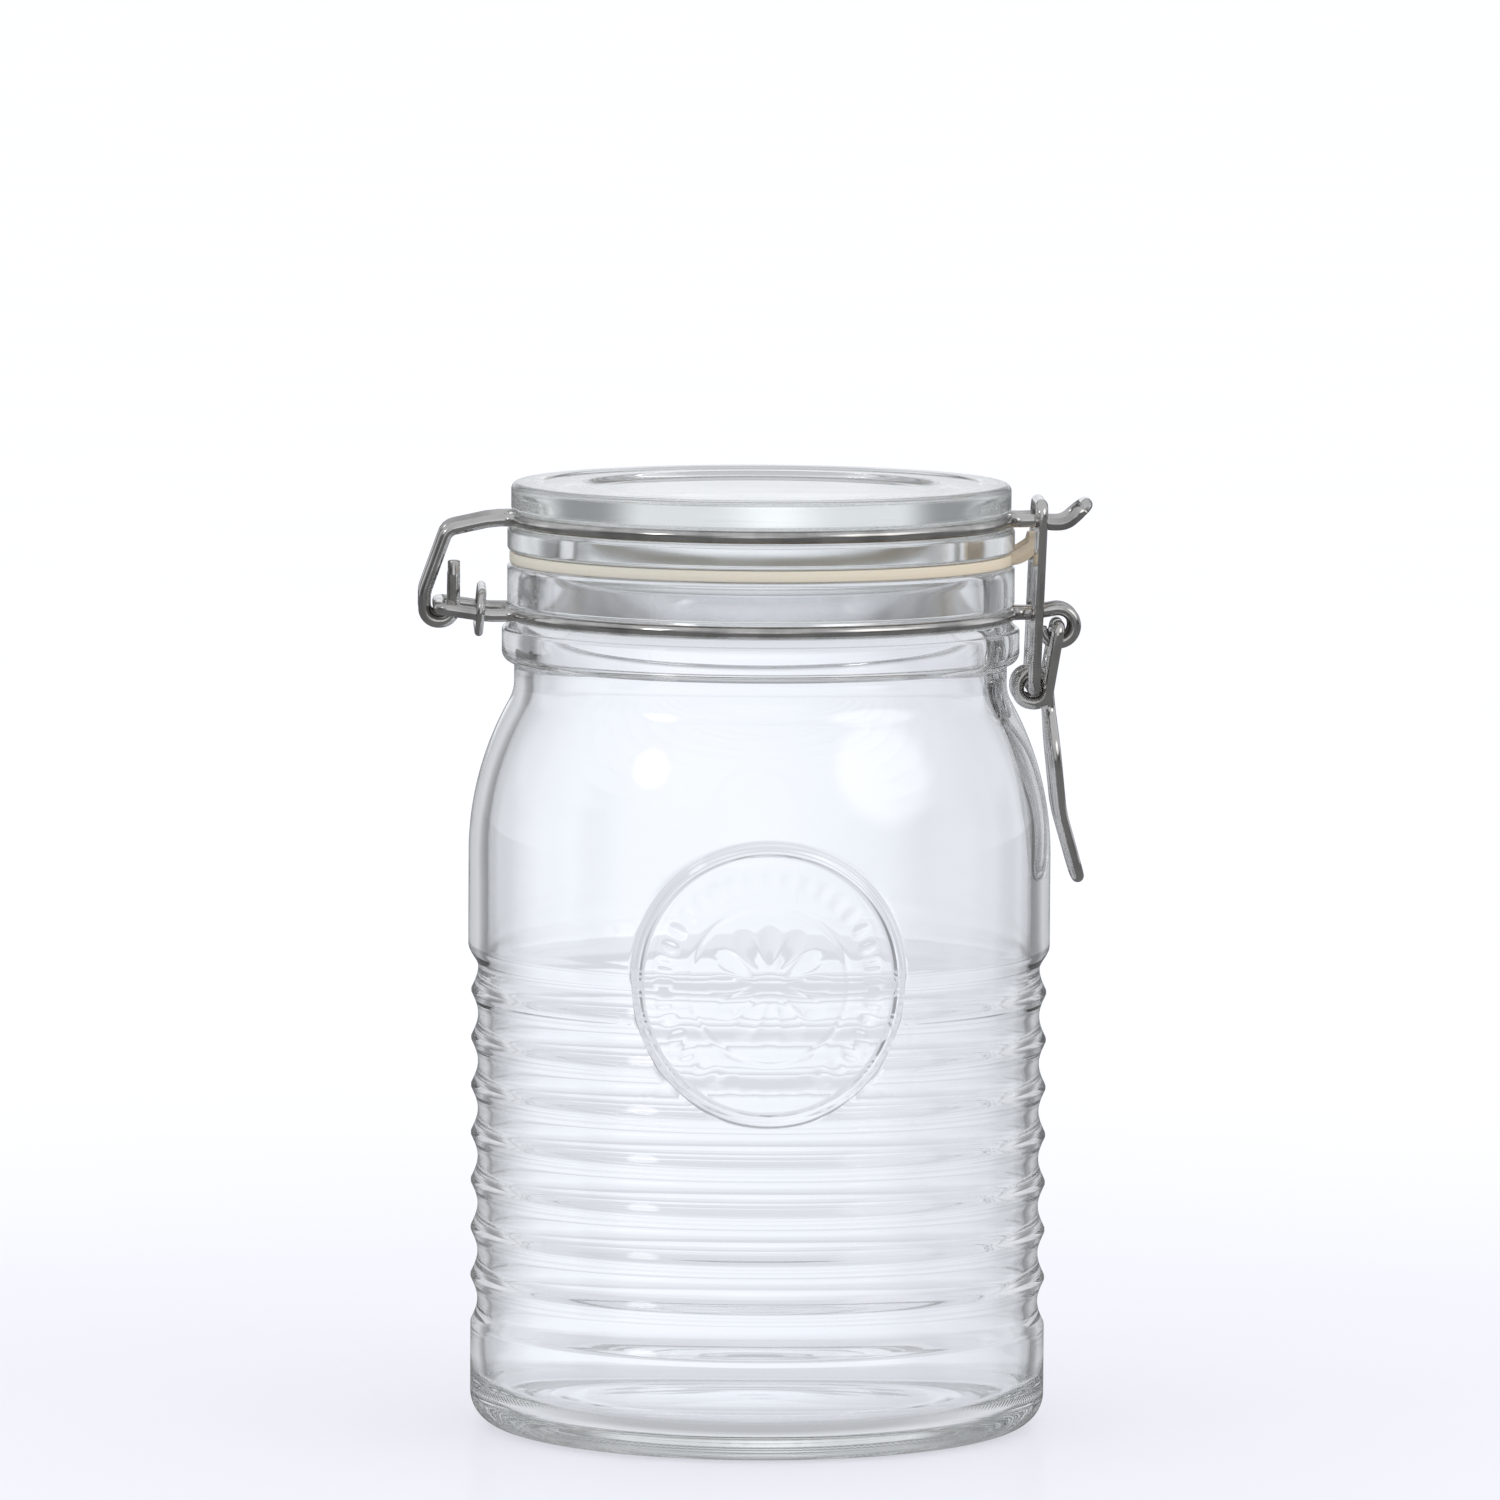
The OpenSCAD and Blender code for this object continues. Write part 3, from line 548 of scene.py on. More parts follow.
def makeJar():
    # profile (r, z) turned about Z: x = r cos a, y = r sin a, with cells taken out for the medallion's own
    outside, inside = jarProfile()
    profile = joined(outside, inside)
    profile[0, 0] = profile[-1, 0] = 0
    body, outer, columns = profile[1:-1], profile[1:len(outside)], jar["columns"]
    step, middle = 2 * math.pi / columns, columns // 2
    a = -math.pi / 2 + (np.arange(columns) - middle) * step
    heights = np.repeat(body[:, 1:], columns, 1)
    grid = np.stack([body[:, :1] * np.cos(a), body[:, :1] * np.sin(a), heights], -1)
    quads = gridFaces(len(body), columns)
    low, high, half, borderRow, borderColumn = medalBorder(outer, step)
    row, column = quads[:, 0] // columns, quads[:, 0] % columns - middle
    quads = quads[~((row >= low) & (row < high) & (column >= -half) & (column < half))]
    patch = medalPatch(
        borderColumn * step * jar["bodyR"], body[borderRow, 1] - medalZ, outer[low - 2:high + 3])
    centreR = jar["bodyR"] + float(medalRelief(np.array(0.0), np.array(0.0)))
    points = np.concatenate([
        grid.reshape(-1, 3), [[0, 0, profile[0, 1]], [0, 0, profile[-1, 1]]],
        patch.reshape(-1, 3), [[0, -centreR, medalZ]]])
    # faces of the patch, of the seam between its last ring and the border, and of the fan in its middle
    rings, count = patch.shape[:2]
    first = len(body) * columns + 2
    last = first + (rings - 1) * count
    border = borderRow * columns + middle + borderColumn
    j = np.arange(count)
    k = (j + 1) % count
    seam = np.stack([last + j, border[j], border[k], last + k], -1)
    quads = np.concatenate([quads, gridFaces(rings, count, first)[:, ::-1], seam])
    fan = np.stack([first + j, first + k, np.full(count, last + count)], -1)
    tris = np.concatenate([poleFans(len(body), columns), fan])
    finish(putMesh("jarGlassBody", points * mm, quads, tris), jarMaterial, "jar", "jar_glass", "jar")


makeJar()

lid = {
    "bottom": 166.0, "height": 12.8, "flange": 4.6, "rimR": 47.9, "ringR": 46.6, "grooveR": 1.4,
    "topR": 47.2, "topRound": 1.3, "rimIn": 42.0, "lip": 0.35, "recessR": 30.5, "recess": 1.3, "web": 4.0,
    "plugR": 40.2, "plugWidth": 5.0, "plugDepth": 5.5, "plugRound": 1.6, "edgeR": 0.8, "columns": 256}
lidTop = lid["bottom"] + lid["height"]
lidRingZ = lid["bottom"] + lid["flange"] + lid["grooveR"]


def makeLid():
    # profile from the middle of the underside round the plug and the rim to the middle of the top
    e, k, top = lid["edgeR"], lid["plugRound"], lid["topRound"]
    bottom, rimR, plugR, topR = lid["bottom"], lid["rimR"], lid["plugR"], lid["topR"]
    recessZ = lidTop - lid["recess"]
    under, plugLow, plugIn = recessZ - lid["web"], bottom - lid["plugDepth"], plugR - lid["plugWidth"]
    # from the rim inwards: a small lip, a level stretch and a slope down to the recess
    dish = np.linspace(0, 1, 31)
    sunk = lid["lip"] * smooth(0, 0.1, dish) + (lid["recess"] - lid["lip"]) * smooth(0.6, 1, dish)
    profile = joined(
        # plug
        line([0, under], [plugIn - 2 * k, under], 5), arc([plugIn - 2 * k, under - 2 * k], 2 * k, 90, 0, 8),
        arc([plugIn + k, plugLow + k], k, 180, 270, 7), arc([plugR - k, plugLow + k], k, -90, 0, 7),
        line([plugR, plugLow + 2], [plugR, bottom - 0.3], 3),
        # flange and wire groove
        line([plugR + 0.3, bottom], [rimR - e - 1, bottom], 3), arc([rimR - e, bottom + e], e, -90, 0, 5),
        arc([rimR - e, bottom + lid["flange"] - e], e, 0, 90, 5),
        arc([lid["ringR"], lidRingZ], lid["grooveR"], 270, 90, 14),
        # top rim and recess
        arc([topR - e, lidRingZ + lid["grooveR"] + e], e, -90, 0, 5),
        arc([topR - top, lidTop - top], top, 0, 90, 8),
        line([topR - 2, lidTop], [lid["rimIn"] + 1, lidTop], 3),
        np.stack([lid["rimIn"] + (lid["recessR"] - lid["rimIn"]) * dish, lidTop - sunk], -1),
        line([lid["recessR"] - 3, recessZ], [0, recessZ], 5))
    profile[0, 0] = profile[-1, 0] = 0
    piece = revolve("lidGlassDisc", profile, lid["columns"])
    finish(piece, lidMaterial, "lid", "lid_glass", "lid")


makeLid()

gasket = {
    "bottom": 163.65, "thick": 2.2, "inner": 40.6, "outer": 47.5, "edgeR": 0.35, "columns": 420,
    "fineColumns": 61, "tabHalf": 5.0, "tabMargin": 0.9, "tabCorner": 2.2, "tabRoot": 1.6, "tabSide": 0.12,
    "tabThinner": 0.09, "runRows": 16, "overEdge": 0.1, "curl": 3.9, "rise": 1.0}


def gasketSection():
    # a rounded oblong, one row per point: u outwards, w upwards about its middle, share of the tab's reach
    e, half, outer = gasket["edgeR"], gasket["thick"] / 2, gasket["outer"]
    inner, root = gasket["inner"] + e, outer - gasket["tabRoot"]
    turns = np.radians([0, 30, 60, 90])
    top = [(inner + (root - inner) * t, half, 0) for t in (1, 0.66, 0.33, 0)]
    inside = [(inner - e * math.sin(x), half - e + e * math.cos(x), 0) for x in turns[1:]]
    inside += [(inner - e * math.cos(x), e - half - e * math.sin(x), 0) for x in turns]
    bottom = [(inner + (root - inner) * t, -half, 0) for t in (0.33, 0.66, 1)]
    shares = np.linspace(1, 0, gasket["runRows"] + 1)[:-1]
    highRun = [(root + (outer - e - root) * t, half, t) for t in shares]
    lowRun = [(u, -w, t) for u, w, t in highRun[::-1]]
    nose = [(outer - e + e * math.sin(x), e - half - e * math.cos(x), 1) for x in turns[1:]]
    nose += [(outer - e + e * math.cos(x), half - e + e * math.sin(x), 1) for x in turns[:-1]]
    return np.array(top + inside + bottom + lowRun + nose + highRun)


def tabReach(a):
    # how far the tab runs out at the angle a: all of its length, less at the rounded corners, 0 beside it
    over, cut = np.abs(gasket["outer"] * np.sin(a)) - gasket["tabHalf"], gasket["tabCorner"]
    length = gasket["curl"] * math.pi / 2 + gasket["rise"]
    corner = np.clip(over + cut, 0, cut) / cut
    # raised, and lowered again at the end, so that it falls to 0 steeply on both sides of the tab
    raised = 3.0
    reach = np.where(over <= 0, length - cut * (1 - np.sqrt(1 - corner ** 2)) + raised,
                     (length - cut + raised) * np.clip(1 - over / gasket["tabSide"], 0, 1))
    return np.maximum(np.where(np.cos(a) > 0, reach, 0) - raised, 0)


def makeGasket():
    # the section carried round the ring; near the tab its outer end runs out along a rising curl
    section, outer, curl = gasketSection(), gasket["outer"], gasket["curl"]
    fine = np.linspace(-1, 1, gasket["fineColumns"]) * (gasket["tabHalf"] + gasket["tabMargin"]) / outer
    rest = np.linspace(fine[-1], 2 * math.pi + fine[0], gasket["columns"] - len(fine) + 2)[1:-1]
    a = np.concatenate([fine, rest])
    reach = tabReach(a)
    u = section[:, :1] + section[:, 2:] * reach
    # beyond the ring's edge the tab follows: level, then a quarter turn of radius curl, then straight up
    edge = outer + gasket["overEdge"]
    beyond = np.maximum(u - edge, 0)
    turn = np.clip(beyond / curl, 0, math.pi / 2)
    upRun = np.maximum(beyond - curl * math.pi / 2, 0)
    w = section[:, 1:2] * (1 - gasket["tabThinner"] * smooth(0, 2, beyond))
    radial = np.minimum(u, edge) + (curl - w) * np.sin(turn)
    z = gasket["bottom"] + gasket["thick"] / 2 + curl - (curl - w) * np.cos(turn) + upRun
    # points of the tab keep their y, so its sides stay parallel
    onTab = section[:, 2:] * (reach > 0) * smooth(outer - gasket["tabRoot"], outer, section[:, :1])
    tabY = outer * np.sin(a)
    tabX = np.sqrt(np.maximum(outer ** 2 - tabY ** 2, 0)) + (radial - outer)
    x = (1 - onTab) * radial * np.cos(a) + onTab * tabX
    y = (1 - onTab) * radial * np.sin(a) + onTab * tabY
    points = np.stack([x, y, z], -1).reshape(-1, 3)
    quads = gridFaces(len(section), len(a), wrapRows=True)
    piece = putMesh("gasketRing", points * mm, quads, sharpAngle=50)
    finish(piece, rubber, "lid", "gasket_rubber", "gasket")


makeGasket()

# what the bent wires share; "Half" is a distance from the middle plane, pivot is (x, z) on that plane
wire = {
    "d": 2.4, "sides": 20, "turnOutR": 3.0, "tightBend": 0.2, "pinPast": 0.6,
    "neckR": 47.2, "neckZ": neckZ, "lidR": 46.6, "lidZ": lidRingZ,
    "hingeX": 60.8, "hingeZ": 155.6, "hingeHalf": 10.0, "eyeHalf": 2.8,
    "pivot": (56.1, 152.0), "crankLong": 12.65, "crankLean": 22.3, "leverHalf": 5.55, "coilPitch": 2.75,
    "tongueLift": 0.1, "seatReach": 6.0, "seatGap": 0.5}
# the latch: its pivot, the link's pin in the lever, and the link's seat over the tongue
pivot = np.array(wire["pivot"])
lean = math.radians(wire["crankLean"])
crank = pivot - wire["crankLong"] * np.array([math.sin(lean), math.cos(lean)])
tongueZ = wire["lidZ"] + wire["tongueLift"]
seat = np.array([wire["lidR"] + wire["seatReach"], tongueZ + wire["d"] + wire["seatGap"]])


def unit(v):
    # v / |v|
    return v / np.linalg.norm(v)


def roundCorners(corners, radii, stepDeg=7):
    # straight runs through the corners, with an arc at each inner one, radii in their order
    p = [np.asarray(c, float) for c in corners]
    out = [p[0][None]]
    for before, corner, after, radius in zip(p[:-2], p[1:-1], p[2:], radii):
        toBefore, toAfter = unit(before - corner), unit(after - corner)
        half = math.acos(np.clip(toBefore @ toAfter, -1, 1)) / 2
        centre = corner + unit(toBefore + toAfter) * radius / math.sin(half)
        start = unit(corner + toBefore * radius / math.tan(half) - centre)
        sweep = math.pi - 2 * half
        t = np.linspace(0, sweep, max(2, int(math.degrees(sweep) / stepDeg) + 1))[:, None]
        out.append(centre + radius * (np.cos(t) * start - np.sin(t) * toBefore))
    out.append(p[-1][None])
    return np.concatenate(out)


def mirrorY(route):
    # the same route on the other side of the middle, run the other way
    return (route * [1, -1, 1])[::-1]


def bothSides(corners, radii):
    # corners on the +Y side, then their mirror images, as one rounded route
    side = np.array(corners, float)
    return roundCorners(np.concatenate([side, mirrorY(side)]), radii + radii[::-1])


def leaveX(ringR, half, turnR):
    # where a bend of turnR, out of a ring of ringR into a strand at half, ends: x^2 = hypotenuse^2 - leg^2
    return math.sqrt((ringR + turnR) ** 2 - (half + turnR) ** 2)


def halfRing(ringR, z, frontHalf, backHalf, turnR):
    # ring on the +Y side from the front strand round to the back strand, with a bend out at each end
    x0, x1 = [leaveX(ringR, half, turnR) for half in (frontHalf, backHalf)]
    a0, a1 = [math.asin((half + turnR) / (ringR + turnR)) for half in (frontHalf, backHalf)]
    bend0 = arc([x0, frontHalf + turnR], turnR, 270, 180 + math.degrees(a0), 8)
    ring = arc([0, 0], ringR, math.degrees(a0), 180 - math.degrees(a1), 84)
    bend1 = arc([x1, backHalf + turnR], turnR, 180 + math.degrees(a1), 270, 8) * [-1, 1]
    flat = joined(bend0, ring, bend1)
    return np.column_stack([flat, np.full(len(flat), z)])


def steps(route):
    # lengths between the points of a route
    return np.linalg.norm(np.diff(route, axis=0), axis=1)


def tube(name, route, d, sides, closed=False):
    # a circle carried along the route: centre + radius * (cos u * side + sin u * up); the side is square to
    # the way and to a slanting direction that no wire follows
    route = route[np.concatenate([[True], steps(route) > 1e-3])]
    # long straight runs get stations of their own
    runs = zip(route[:-1], route[1:], steps(route) // 2.5)
    route = np.concatenate([line(a, b, max(1, int(count)))[:-1] for a, b, count in runs] + [route[-1:]])
    radius = np.full(len(route), d / 2)
    if closed:
        route, radius = route[:-1], radius[:-1]
        way = np.roll(route, -1, 0) - np.roll(route, 1, 0)
    else:
        # rounded ends: a few rings close together, each smaller than the one before
        first, last = unit(route[1] - route[0]), unit(route[-1] - route[-2])
        shrink = np.array([0.0, 0.55, 0.86, 0.97])
        inset = np.array([0.0, 0.0, 0.1, 0.28]) * d / 2
        head = route[0] + inset[:, None] * first
        tail = route[-1] - inset[::-1, None] * last
        route = np.concatenate([head, route[1:-1], tail])
        radius = np.concatenate([shrink * d / 2, radius[1:-1], shrink[::-1] * d / 2])
        way = np.gradient(route, axis=0)
        way[:4], way[-4:] = first, last
    way /= np.linalg.norm(way, axis=1)[:, None]
    side = np.cross(way, np.ones(3) / math.sqrt(3))
    side /= np.linalg.norm(side, axis=1)[:, None]
    up = np.cross(way, side)
    u = np.arange(sides) * 2 * math.pi / sides
    rings = route[:, None] + radius[:, None, None] * (
        np.cos(u)[None, :, None] * side[:, None] + np.sin(u)[None, :, None] * up[:, None])
    along = np.concatenate([[0], np.cumsum(steps(route))])
    uv = np.stack(np.broadcast_arrays(np.arange(sides)[None] / sides, along[:, None] * 0.1), -1)
    if closed:
        quads = gridFaces(len(rings), sides, wrapRows=True)
        return putMesh(name, rings.reshape(-1, 3) * mm, quads, uv=uv.reshape(-1, 2))
    points = np.concatenate([rings[1:-1].reshape(-1, 3), route[:1], route[-1:]])
    uv = np.concatenate([uv[1:-1].reshape(-1, 2), uv[0, :1], uv[-1, :1]])
    quads = gridFaces(len(rings) - 2, sides)
    return putMesh(name, points * mm, quads, poleFans(len(rings) - 2, sides), uv=uv)


def bentWire(name, route, look, body, node, closed=False):
    # a steel wire along the route, for one node of the CAD
    piece = tube(name, route, look["d"], look["sides"], closed)
    finish(piece, steel, body, "wire_steel", node)


def at(p, y):
    # the place p = (x, z) of the middle plane, moved out to y
    return [p[0], y, p[1]]


def onCircle(centre, r, a):
    # centre + r * (cos a, sin a)
    return centre + r * np.array([math.cos(a), math.sin(a)])


def touchAngle(centre, r, p, side):
    # angle of the point where a line from p touches a circle
    d = np.asarray(p) - centre
    return math.atan2(d[1], d[0]) + side * math.acos(r / np.linalg.norm(d))


# bends are radii, in the order of the route from its start
lidWire = {
    "tongueHalf": 5.2, "tongueReach": 14.7, "tongueRise": 2.9, "tongueBends": [5, 5, 4, 3.4],
    "saddle": 0.7, "saddleAt": (-0.8, 1.8, 4.8), "hookHalf": 6.2, "hookR": 2.75, "hookUp": (8.9, 5.9),
    "hookArm": 4.0, "kneeUp": 2.7, "elbowIn": 1.5, "elbowDrop": 1.9, "legBends": [12, 2.6, 5]}


def lidWireRoute():
    # front leg backwards, front ring, tongue from -Y to +Y, rear ring, rear leg, with rounded bends
    half, hook, r, z = lidWire["tongueHalf"], lidWire["hookHalf"], wire["lidR"], wire["lidZ"]
    before, low, high = [seat[0] + place for place in lidWire["saddleAt"]]
    sunk = tongueZ - lidWire["saddle"]
    tongue = bothSides([
        [leaveX(r, half, wire["turnOutR"]), half, z], [before, half, tongueZ], [low, half, sunk],
        [high, half, sunk], [r + lidWire["tongueReach"], half, z + lidWire["tongueRise"]]],
        lidWire["tongueBends"])
    x, k = wire["hingeX"], lidWire["hookR"]

    def leg(up):
        # from the ring over the elbow down to the hook, which turns under the crossbar and up again
        return roundCorners([
            [-leaveX(r, hook, wire["turnOutR"]), hook, z], [-r - lidWire["hookArm"], hook, z],
            [lidWire["elbowIn"] - x, hook, z - lidWire["elbowDrop"]],
            [-x - k, hook, wire["hingeZ"] + lidWire["kneeUp"]], [-x - k, hook, wire["hingeZ"] - k],
            [k - x, hook, wire["hingeZ"] - k], [k - x, hook, wire["hingeZ"] + up]],
            lidWire["legBends"] + [k - wire["tightBend"]] * 2)
    ring = halfRing(r, z, half, hook, wire["turnOutR"])
    front = mirrorY(np.concatenate([ring, leg(lidWire["hookUp"][0])]))
    rear = np.concatenate([ring, leg(lidWire["hookUp"][1])])
    return np.concatenate([front, tongue[::-1], rear])


bentWire("lidWire", lidWireRoute(), wire, "lid", "lid_wire")

neckWire = {
    "loopArm": 4.6, "loopBends": [14, 1.8], "eyeR": 3.15, "eyeEnd": 190.0, "armStart": 1.0, "armBend": 5}


def neckWireRoute():
    # eye, arm to the ring, half a ring and the loop of the hinge, and the same back
    r, z, half, eyeHalf = wire["neckR"], wire["neckZ"], wire["hingeHalf"], wire["eyeHalf"]
    start = np.array([leaveX(r, eyeHalf, wire["turnOutR"]), z])
    bend = start + [neckWire["armStart"], 0]
    a = touchAngle(pivot, neckWire["eyeR"], bend, -1)
    end = onCircle(pivot, neckWire["eyeR"], a)
    arm = roundCorners([at(start, eyeHalf), at(bend, eyeHalf), at(end, eyeHalf)], [neckWire["armBend"]])
    eye = arc(pivot, neckWire["eyeR"], math.degrees(a), neckWire["eyeEnd"] - 360, 42)
    eye = np.column_stack([eye[:, 0], np.full(len(eye), eyeHalf), eye[:, 1]])
    loop = bothSides([
        [-leaveX(r, half, wire["turnOutR"]), half, z], [-r - neckWire["loopArm"], half, z],
        [-wire["hingeX"], half, wire["hingeZ"]]], neckWire["loopBends"])
    rear = np.concatenate([eye[::-1], arm[::-1], halfRing(r, z, eyeHalf, half, wire["turnOutR"])])
    return np.concatenate([rear, loop, mirrorY(rear)])


bentWire("neckWire", neckWireRoute(), wire, "jar", "neck_wire")

clip = {"d": 1.6, "sides": 16, "high": 9.1, "reach": 5.85, "play": 0.2, "lean": 5.0, "rise": 0.52}


def clipRoute():
    # flat oval ring round the two strands, leaning a little
    up = (clip["high"] - clip["d"]) / 2
    across = wire["hingeHalf"] + (wire["d"] + clip["d"]) / 2 + clip["play"] - up
    right = arc([across, 0], up, -90, 90, 24)
    left = arc([-across, 0], up, 90, 270, 24)
    flat = joined(right, left, right[:1])
    tilt = math.radians(clip["lean"])
    x = flat[:, 1] * math.sin(tilt) - wire["neckR"] - clip["reach"]
    return np.column_stack([x, flat[:, 0], flat[:, 1] * math.cos(tilt) + wire["neckZ"] + clip["rise"]])


bentWire("hingeClip", clipRoute(), clip, "jar", "hinge_clip", closed=True)

link = {"half": 8.3, "bends": [1.6, 2]}


def linkRoute():
    # pin in the lever's coil, arm up to the tongue, across it, and the same back
    pinEnd = wire["leverHalf"] - wire["coilPitch"] - wire["d"] / 2 - wire["pinPast"]
    return bothSides([at(crank, pinEnd), at(crank, link["half"]), at(seat, link["half"])], link["bends"])


bentWire("latchLink", linkRoute(), wire, "link", "link")

lever = {
    "coilR": 2.8, "handleFrom": (2, 9), "handleHalf": 8.0, "kneeX": 56.55, "kneeDrop": 35.0,
    "kneeHalf": 7.5, "tipLong": 13.0, "tipFlare": 16.0, "tipHalf": 6.0,
    "pinBend": 1.6, "handleBends": [3, 6, 14, 3.6]}


def leverRoute():
    # pin, one turn of coil in four quarter bends, then the handle to its tip, and the same back
    r, half, pitch = lever["coilR"], wire["leverHalf"], wire["coilPitch"]
    knee = np.array([lever["kneeX"], pivot[1] - lever["kneeDrop"]])
    flare = math.radians(lever["tipFlare"])
    tip = knee + lever["tipLong"] * np.array([math.sin(flare), -math.cos(flare)])
    aIn = touchAngle(crank, r, pivot, -1)
    aOut = touchAngle(crank, r, knee, 1)
    step = (2 * math.pi - aOut + aIn) / 4
    corner = r / math.cos(step / 2)
    coil = [at(onCircle(crank, corner, aIn - q * step), half - pitch * q / 4) for q in np.arange(4) + 0.5]
    start = onCircle(crank, r, aOut)
    way = unit(knee - start)
    narrow, wide = lever["handleFrom"]
    side = [at(pivot, wire["eyeHalf"] - wire["d"] / 2 - wire["pinPast"]), at(pivot, half)] + coil + [
        at(start + way * (r + narrow), half - pitch), at(start + way * (r + wide), lever["handleHalf"]),
        at(knee, lever["kneeHalf"]), at(tip, lever["tipHalf"])]
    bends = [lever["pinBend"]] + [r - wire["tightBend"]] * 4 + lever["handleBends"]
    return bothSides(side, bends)


bentWire("latchLever", leverRoute(), wire, "lever", "lever")

# metres from here on
floorLook = {
    "radius": 12.0, "drop": 0.0002, "rings": 12, "sides": 128, "colour": (0.31, 0.31, 0.32),
    "patch": (0.33, 0.33, 0.34), "roughness": 0.16, "glow": (0.89, 0.895, 0.97), "glowZone": (0.08, 0.6),
    "near": 0.66, "far": 0.78, "shine": (0.97, 0.985, 1.0), "mirrored": 0.22, "gloss": 0.06}


def makeFloor(look):
    # a pale table far larger than the view, that the camera, steel and glass each see in their own way
    material, tree = newMaterial("paleTable")
    place = put(tree, "ShaderNodeTexCoord").outputs["Object"]
    ray = put(tree, "ShaderNodeLightPath").outputs
    grain = put(tree, "ShaderNodeTexNoise", inputs={"Vector": place, "Scale": 9.0, "Detail": 2.0})
    away = put(tree, "ShaderNodeVectorMath", operation="LENGTH", inputs={0: place}).outputs["Value"]
    glow = ramp(tree, away, *look["glowZone"], look["near"], look["far"])
    shader = put(tree, "ShaderNodeBsdfPrincipled", inputs={
        "Base Color": mixColour(tree, grain.outputs[0], (*look["colour"], 1), (*look["patch"], 1)),
        "Roughness": look["roughness"], "Specular IOR Level": 0.0, "Emission Color": (*look["glow"], 1),
        "Emission Strength": mathNode(tree, "MULTIPLY", glow, ray["Is Camera Ray"])})
    # a faint even gloss, the same at every angle, so that the table is as pale from every side
    gloss = put(tree, "ShaderNodeBsdfGlossy", inputs={
        "Color": (1, 1, 1, 1), "Roughness": look["roughness"]})
    table = mixShader(tree, look["gloss"], shader, gloss)
    # steel sees a plain bright table; rays gone through glass pass on to the world, which holds a table too
    shine = put(tree, "ShaderNodeEmission", inputs={
        "Color": (*look["shine"], 1), "Strength": look["mirrored"]})
    opened = put(tree, "ShaderNodeBsdfTransparent")
    table = mixShader(tree, ray["Is Glossy Ray"], table, shine)
    table = mixShader(tree, ray["Is Transmission Ray"], table, opened)
    put(tree, "ShaderNodeOutputMaterial", inputs={"Surface": table.outputs[0]})
    # a disc: x = r cos a, y = r sin a, with rings that lie closer together near the middle
    rings, sides = look["rings"], look["sides"]
    a = np.arange(sides) * 2 * math.pi / sides
    r = look["radius"] * np.linspace(0.02, 1, rings)[:, None] ** 1.5
    x, y, z = np.broadcast_arrays(r * np.cos(a), r * np.sin(a), -look["drop"])
    points = np.concatenate([np.stack([x, y, z], -1).reshape(-1, 3), [[0, 0, -look["drop"]]]])
    j = np.arange(sides)
    fan = np.stack([j, (j + 1) % sides, np.full(sides, rings * sides)], -1)
    piece = putMesh("paleTable", points, gridFaces(rings, sides)[:, ::-1], fan)
    piece.data.materials.append(material)


# levels of the world by the kind of ray: after glass, mirrored by steel, spread by matt faces, straight on
worldLook = {
    "colour": (0.947, 0.967, 1.0), "spread": 1.02, "straight": 1.03,
    "through": {
        "Count": 5.0, "Gap Level": 0.3, "Side Level": 0.83, "Gap Start": -1.0, "Gap End": -0.25,
        "Peak Level": 1.1, "Peak Start": 0.26, "Peak Power": 5.0, "Low Share": 0.87,
        "Top Level": 0.3, "Top Start": 0.12, "Top End": 0.6,
        "Low Level": 0.82, "Low Start": -0.2, "Low End": -0.26,
        "Under Level": 0.55, "Under Start": -0.5, "Under End": -0.85, "Front Level": 0.85},
    "mirrored": {
        "Count": 3.0, "Turned": math.pi, "Gap Level": 0.1, "Side Level": 0.32, "Peak Start": 0.5,
        "Top Level": 0.75, "Top Start": 0.2, "Top End": 0.55, "Low Level": 0.2, "Under Level": 0.2,
        "Front Level": 0.9, "Front Start": -0.9, "Front End": -1.0,
        "Back Start": 0.955, "Back End": 0.985}}


def makeWorld(look):
    # even light for matt faces, and the panels for what glass and steel show
    world = bpy.data.worlds.new("paleStudio")
    bpy.context.scene.world = world
    world.use_nodes = True
    tree = world.node_tree
    tree.nodes.clear()
    direction = put(tree, "ShaderNodeTexCoord").outputs["Generated"]
    ray = put(tree, "ShaderNodeLightPath").outputs
    through, mirrored = [put(tree, "ShaderNodeGroup", node_tree=panels, inputs={
        "Direction": direction, **look[kind]}).outputs[0] for kind in ("through", "mirrored")]
    # a ray that has gone through glass counts as glossy too, so transmission is mixed in after it
    level = mixFloat(tree, ray["Is Glossy Ray"], look["spread"], mirrored)
    level = mixFloat(tree, ray["Is Transmission Ray"], level, through)
    level = mixFloat(tree, ray["Is Camera Ray"], level, look["straight"])
    light = put(tree, "ShaderNodeBackground", inputs={"Color": (*look["colour"], 1), "Strength": level})
    put(tree, "ShaderNodeOutputWorld", inputs={"Surface": light.outputs[0]})


lamps = {
    "softBox": {
        "azimuth": 56, "elevation": 29, "distance": 1.3, "aim": 0.12, "shape": "RECTANGLE",
        "size": (1.15, 1.0), "edge": (0.3, 0.5), "radiance": 1.3, "colour": (1.0, 0.99, 0.98)},
    "smallLamp": {
        "azimuth": -53, "elevation": 31, "distance": 1.3, "aim": 0.12, "shape": "DISK",
        "size": (0.34, 0.34), "edge": (0.3, 0.5), "radiance": 4.0, "colour": (1.0, 1.0, 1.0)}}


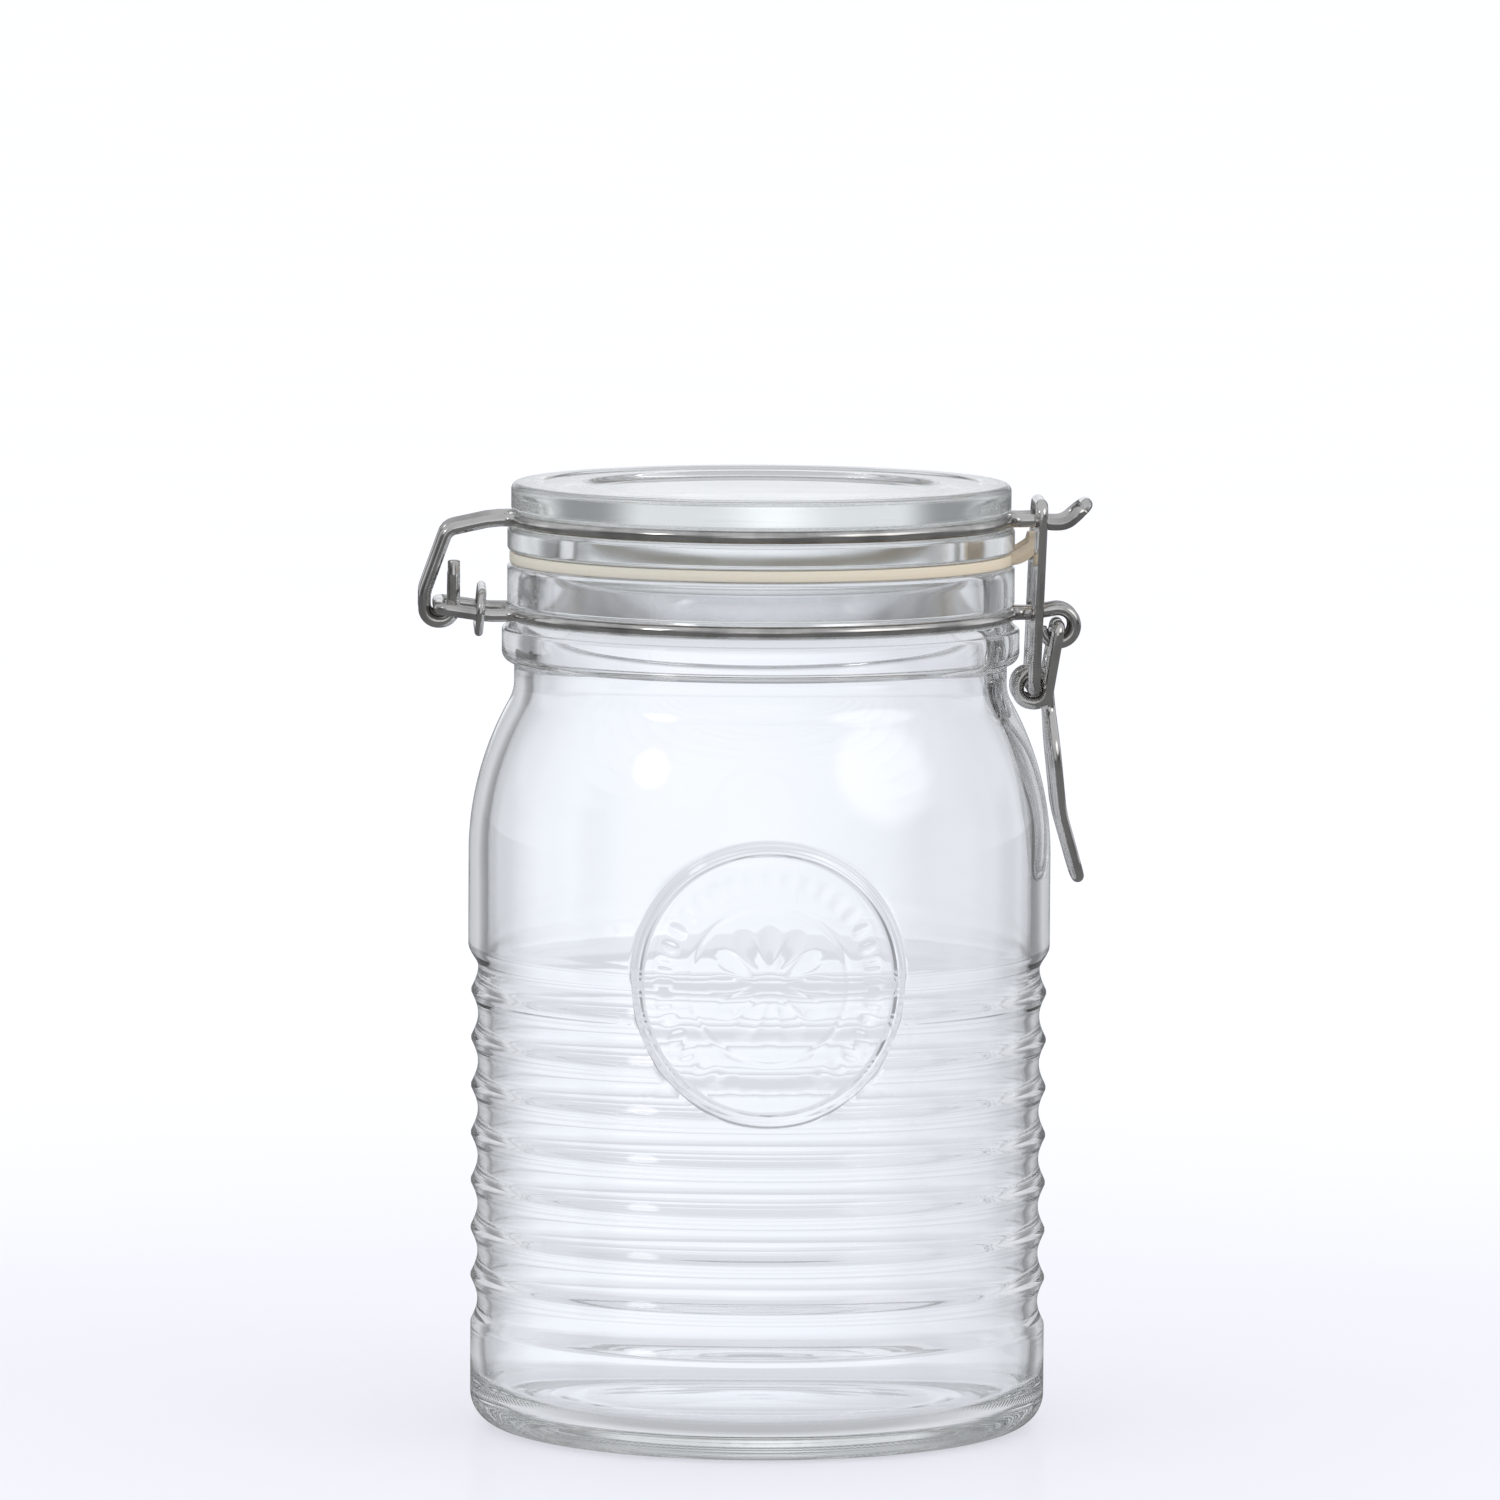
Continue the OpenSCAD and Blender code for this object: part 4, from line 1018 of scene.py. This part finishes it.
def addLamp(name, look):
    # a flat lamp that faces the jar; its power follows from the wanted radiance: area * pi * radiance
    data = bpy.data.lights.new(name, "AREA")
    wide, high = look["size"]
    data.shape, data.size = look["shape"], wide
    area = math.pi * wide ** 2 / 4
    if look["shape"] == "RECTANGLE":
        data.size_y = high
        area = wide * high
    data.energy = area * math.pi * look["radiance"]
    data.color = look["colour"]
    # soft edges: the strength falls off smoothly from the middle of the lamp to its border
    data.use_nodes = True
    tree = data.node_tree
    tree.nodes.clear()
    across = put(tree, "ShaderNodeNewGeometry").outputs["Parametric"]
    centred = put(tree, "ShaderNodeVectorMath", operation="SUBTRACT", inputs={
        0: across, 1: (0.5, 0.5, 0.0)})
    flat = put(tree, "ShaderNodeVectorMath", operation="MULTIPLY", inputs={
        0: centred.outputs[0], 1: (1.0, 1.0, 0.0)})
    far = put(tree, "ShaderNodeVectorMath", operation="LENGTH", inputs={0: flat.outputs[0]})
    strength = ramp(tree, far.outputs["Value"], *look["edge"], 1.0, 0.0)
    light = put(tree, "ShaderNodeEmission", inputs={"Strength": strength})
    put(tree, "ShaderNodeOutputLight", inputs={"Surface": light.outputs[0]})
    lamp = bpy.data.objects.new(name, data)
    a, e = math.radians(look["azimuth"]), math.radians(look["elevation"])
    way = Vector((math.sin(a) * math.cos(e), -math.cos(a) * math.cos(e), math.sin(e)))
    lamp.location = Vector((0, 0, look["aim"])) + way * look["distance"]
    lamp.rotation_euler = way.to_track_quat("Z", "Y").to_euler()
    lamp.visible_camera = False
    bpy.context.scene.collection.objects.link(lamp)


makeFloor(floorLook)
makeWorld(worldLook)
for name, look in lamps.items():
    addLamp(name, look)
print("floor, world and lamps made")

# angles in degrees: turn to the left, pitch downwards, roll about the way it looks
view = {
    "lens": 288.0, "sensor": 36.0, "turn": -2.0, "pitch": 5.56, "roll": 0.3,
    "distance": 2.2586, "height": 0.3479, "shiftLeft": 0.0019}
lens = bpy.data.cameras.new("tableCamera")
lens.lens, lens.sensor_width = view["lens"], view["sensor"]
lens.clip_start, lens.clip_end = 0.1, 60.0
camera = bpy.data.objects.new("tableCamera", lens)
a, p = math.radians(view["turn"]), math.radians(view["pitch"])
back = Vector((math.sin(a), -math.cos(a), 0))
right = Vector((math.cos(a), math.sin(a), 0))
camera.location = back * view["distance"] + Vector((0, 0, view["height"])) - right * view["shiftLeft"]
away = back * math.cos(p) + Vector((0, 0, math.sin(p)))
basis = Matrix((right, away.cross(right), away)).transposed().to_4x4()
roll = Matrix.Rotation(math.radians(view["roll"]), 4, "Z")
camera.matrix_world = Matrix.Translation(camera.location) @ basis @ roll
bpy.context.scene.collection.objects.link(camera)
bpy.context.scene.camera = camera
bpy.context.scene.view_settings.view_transform = "Standard"
# light that runs on inside the glass needs more turns than usual before it may be dropped
paths = bpy.context.scene.cycles
paths.max_bounces, paths.transmission_bounces, paths.glossy_bounces = 40, 40, 24
print("studio made")
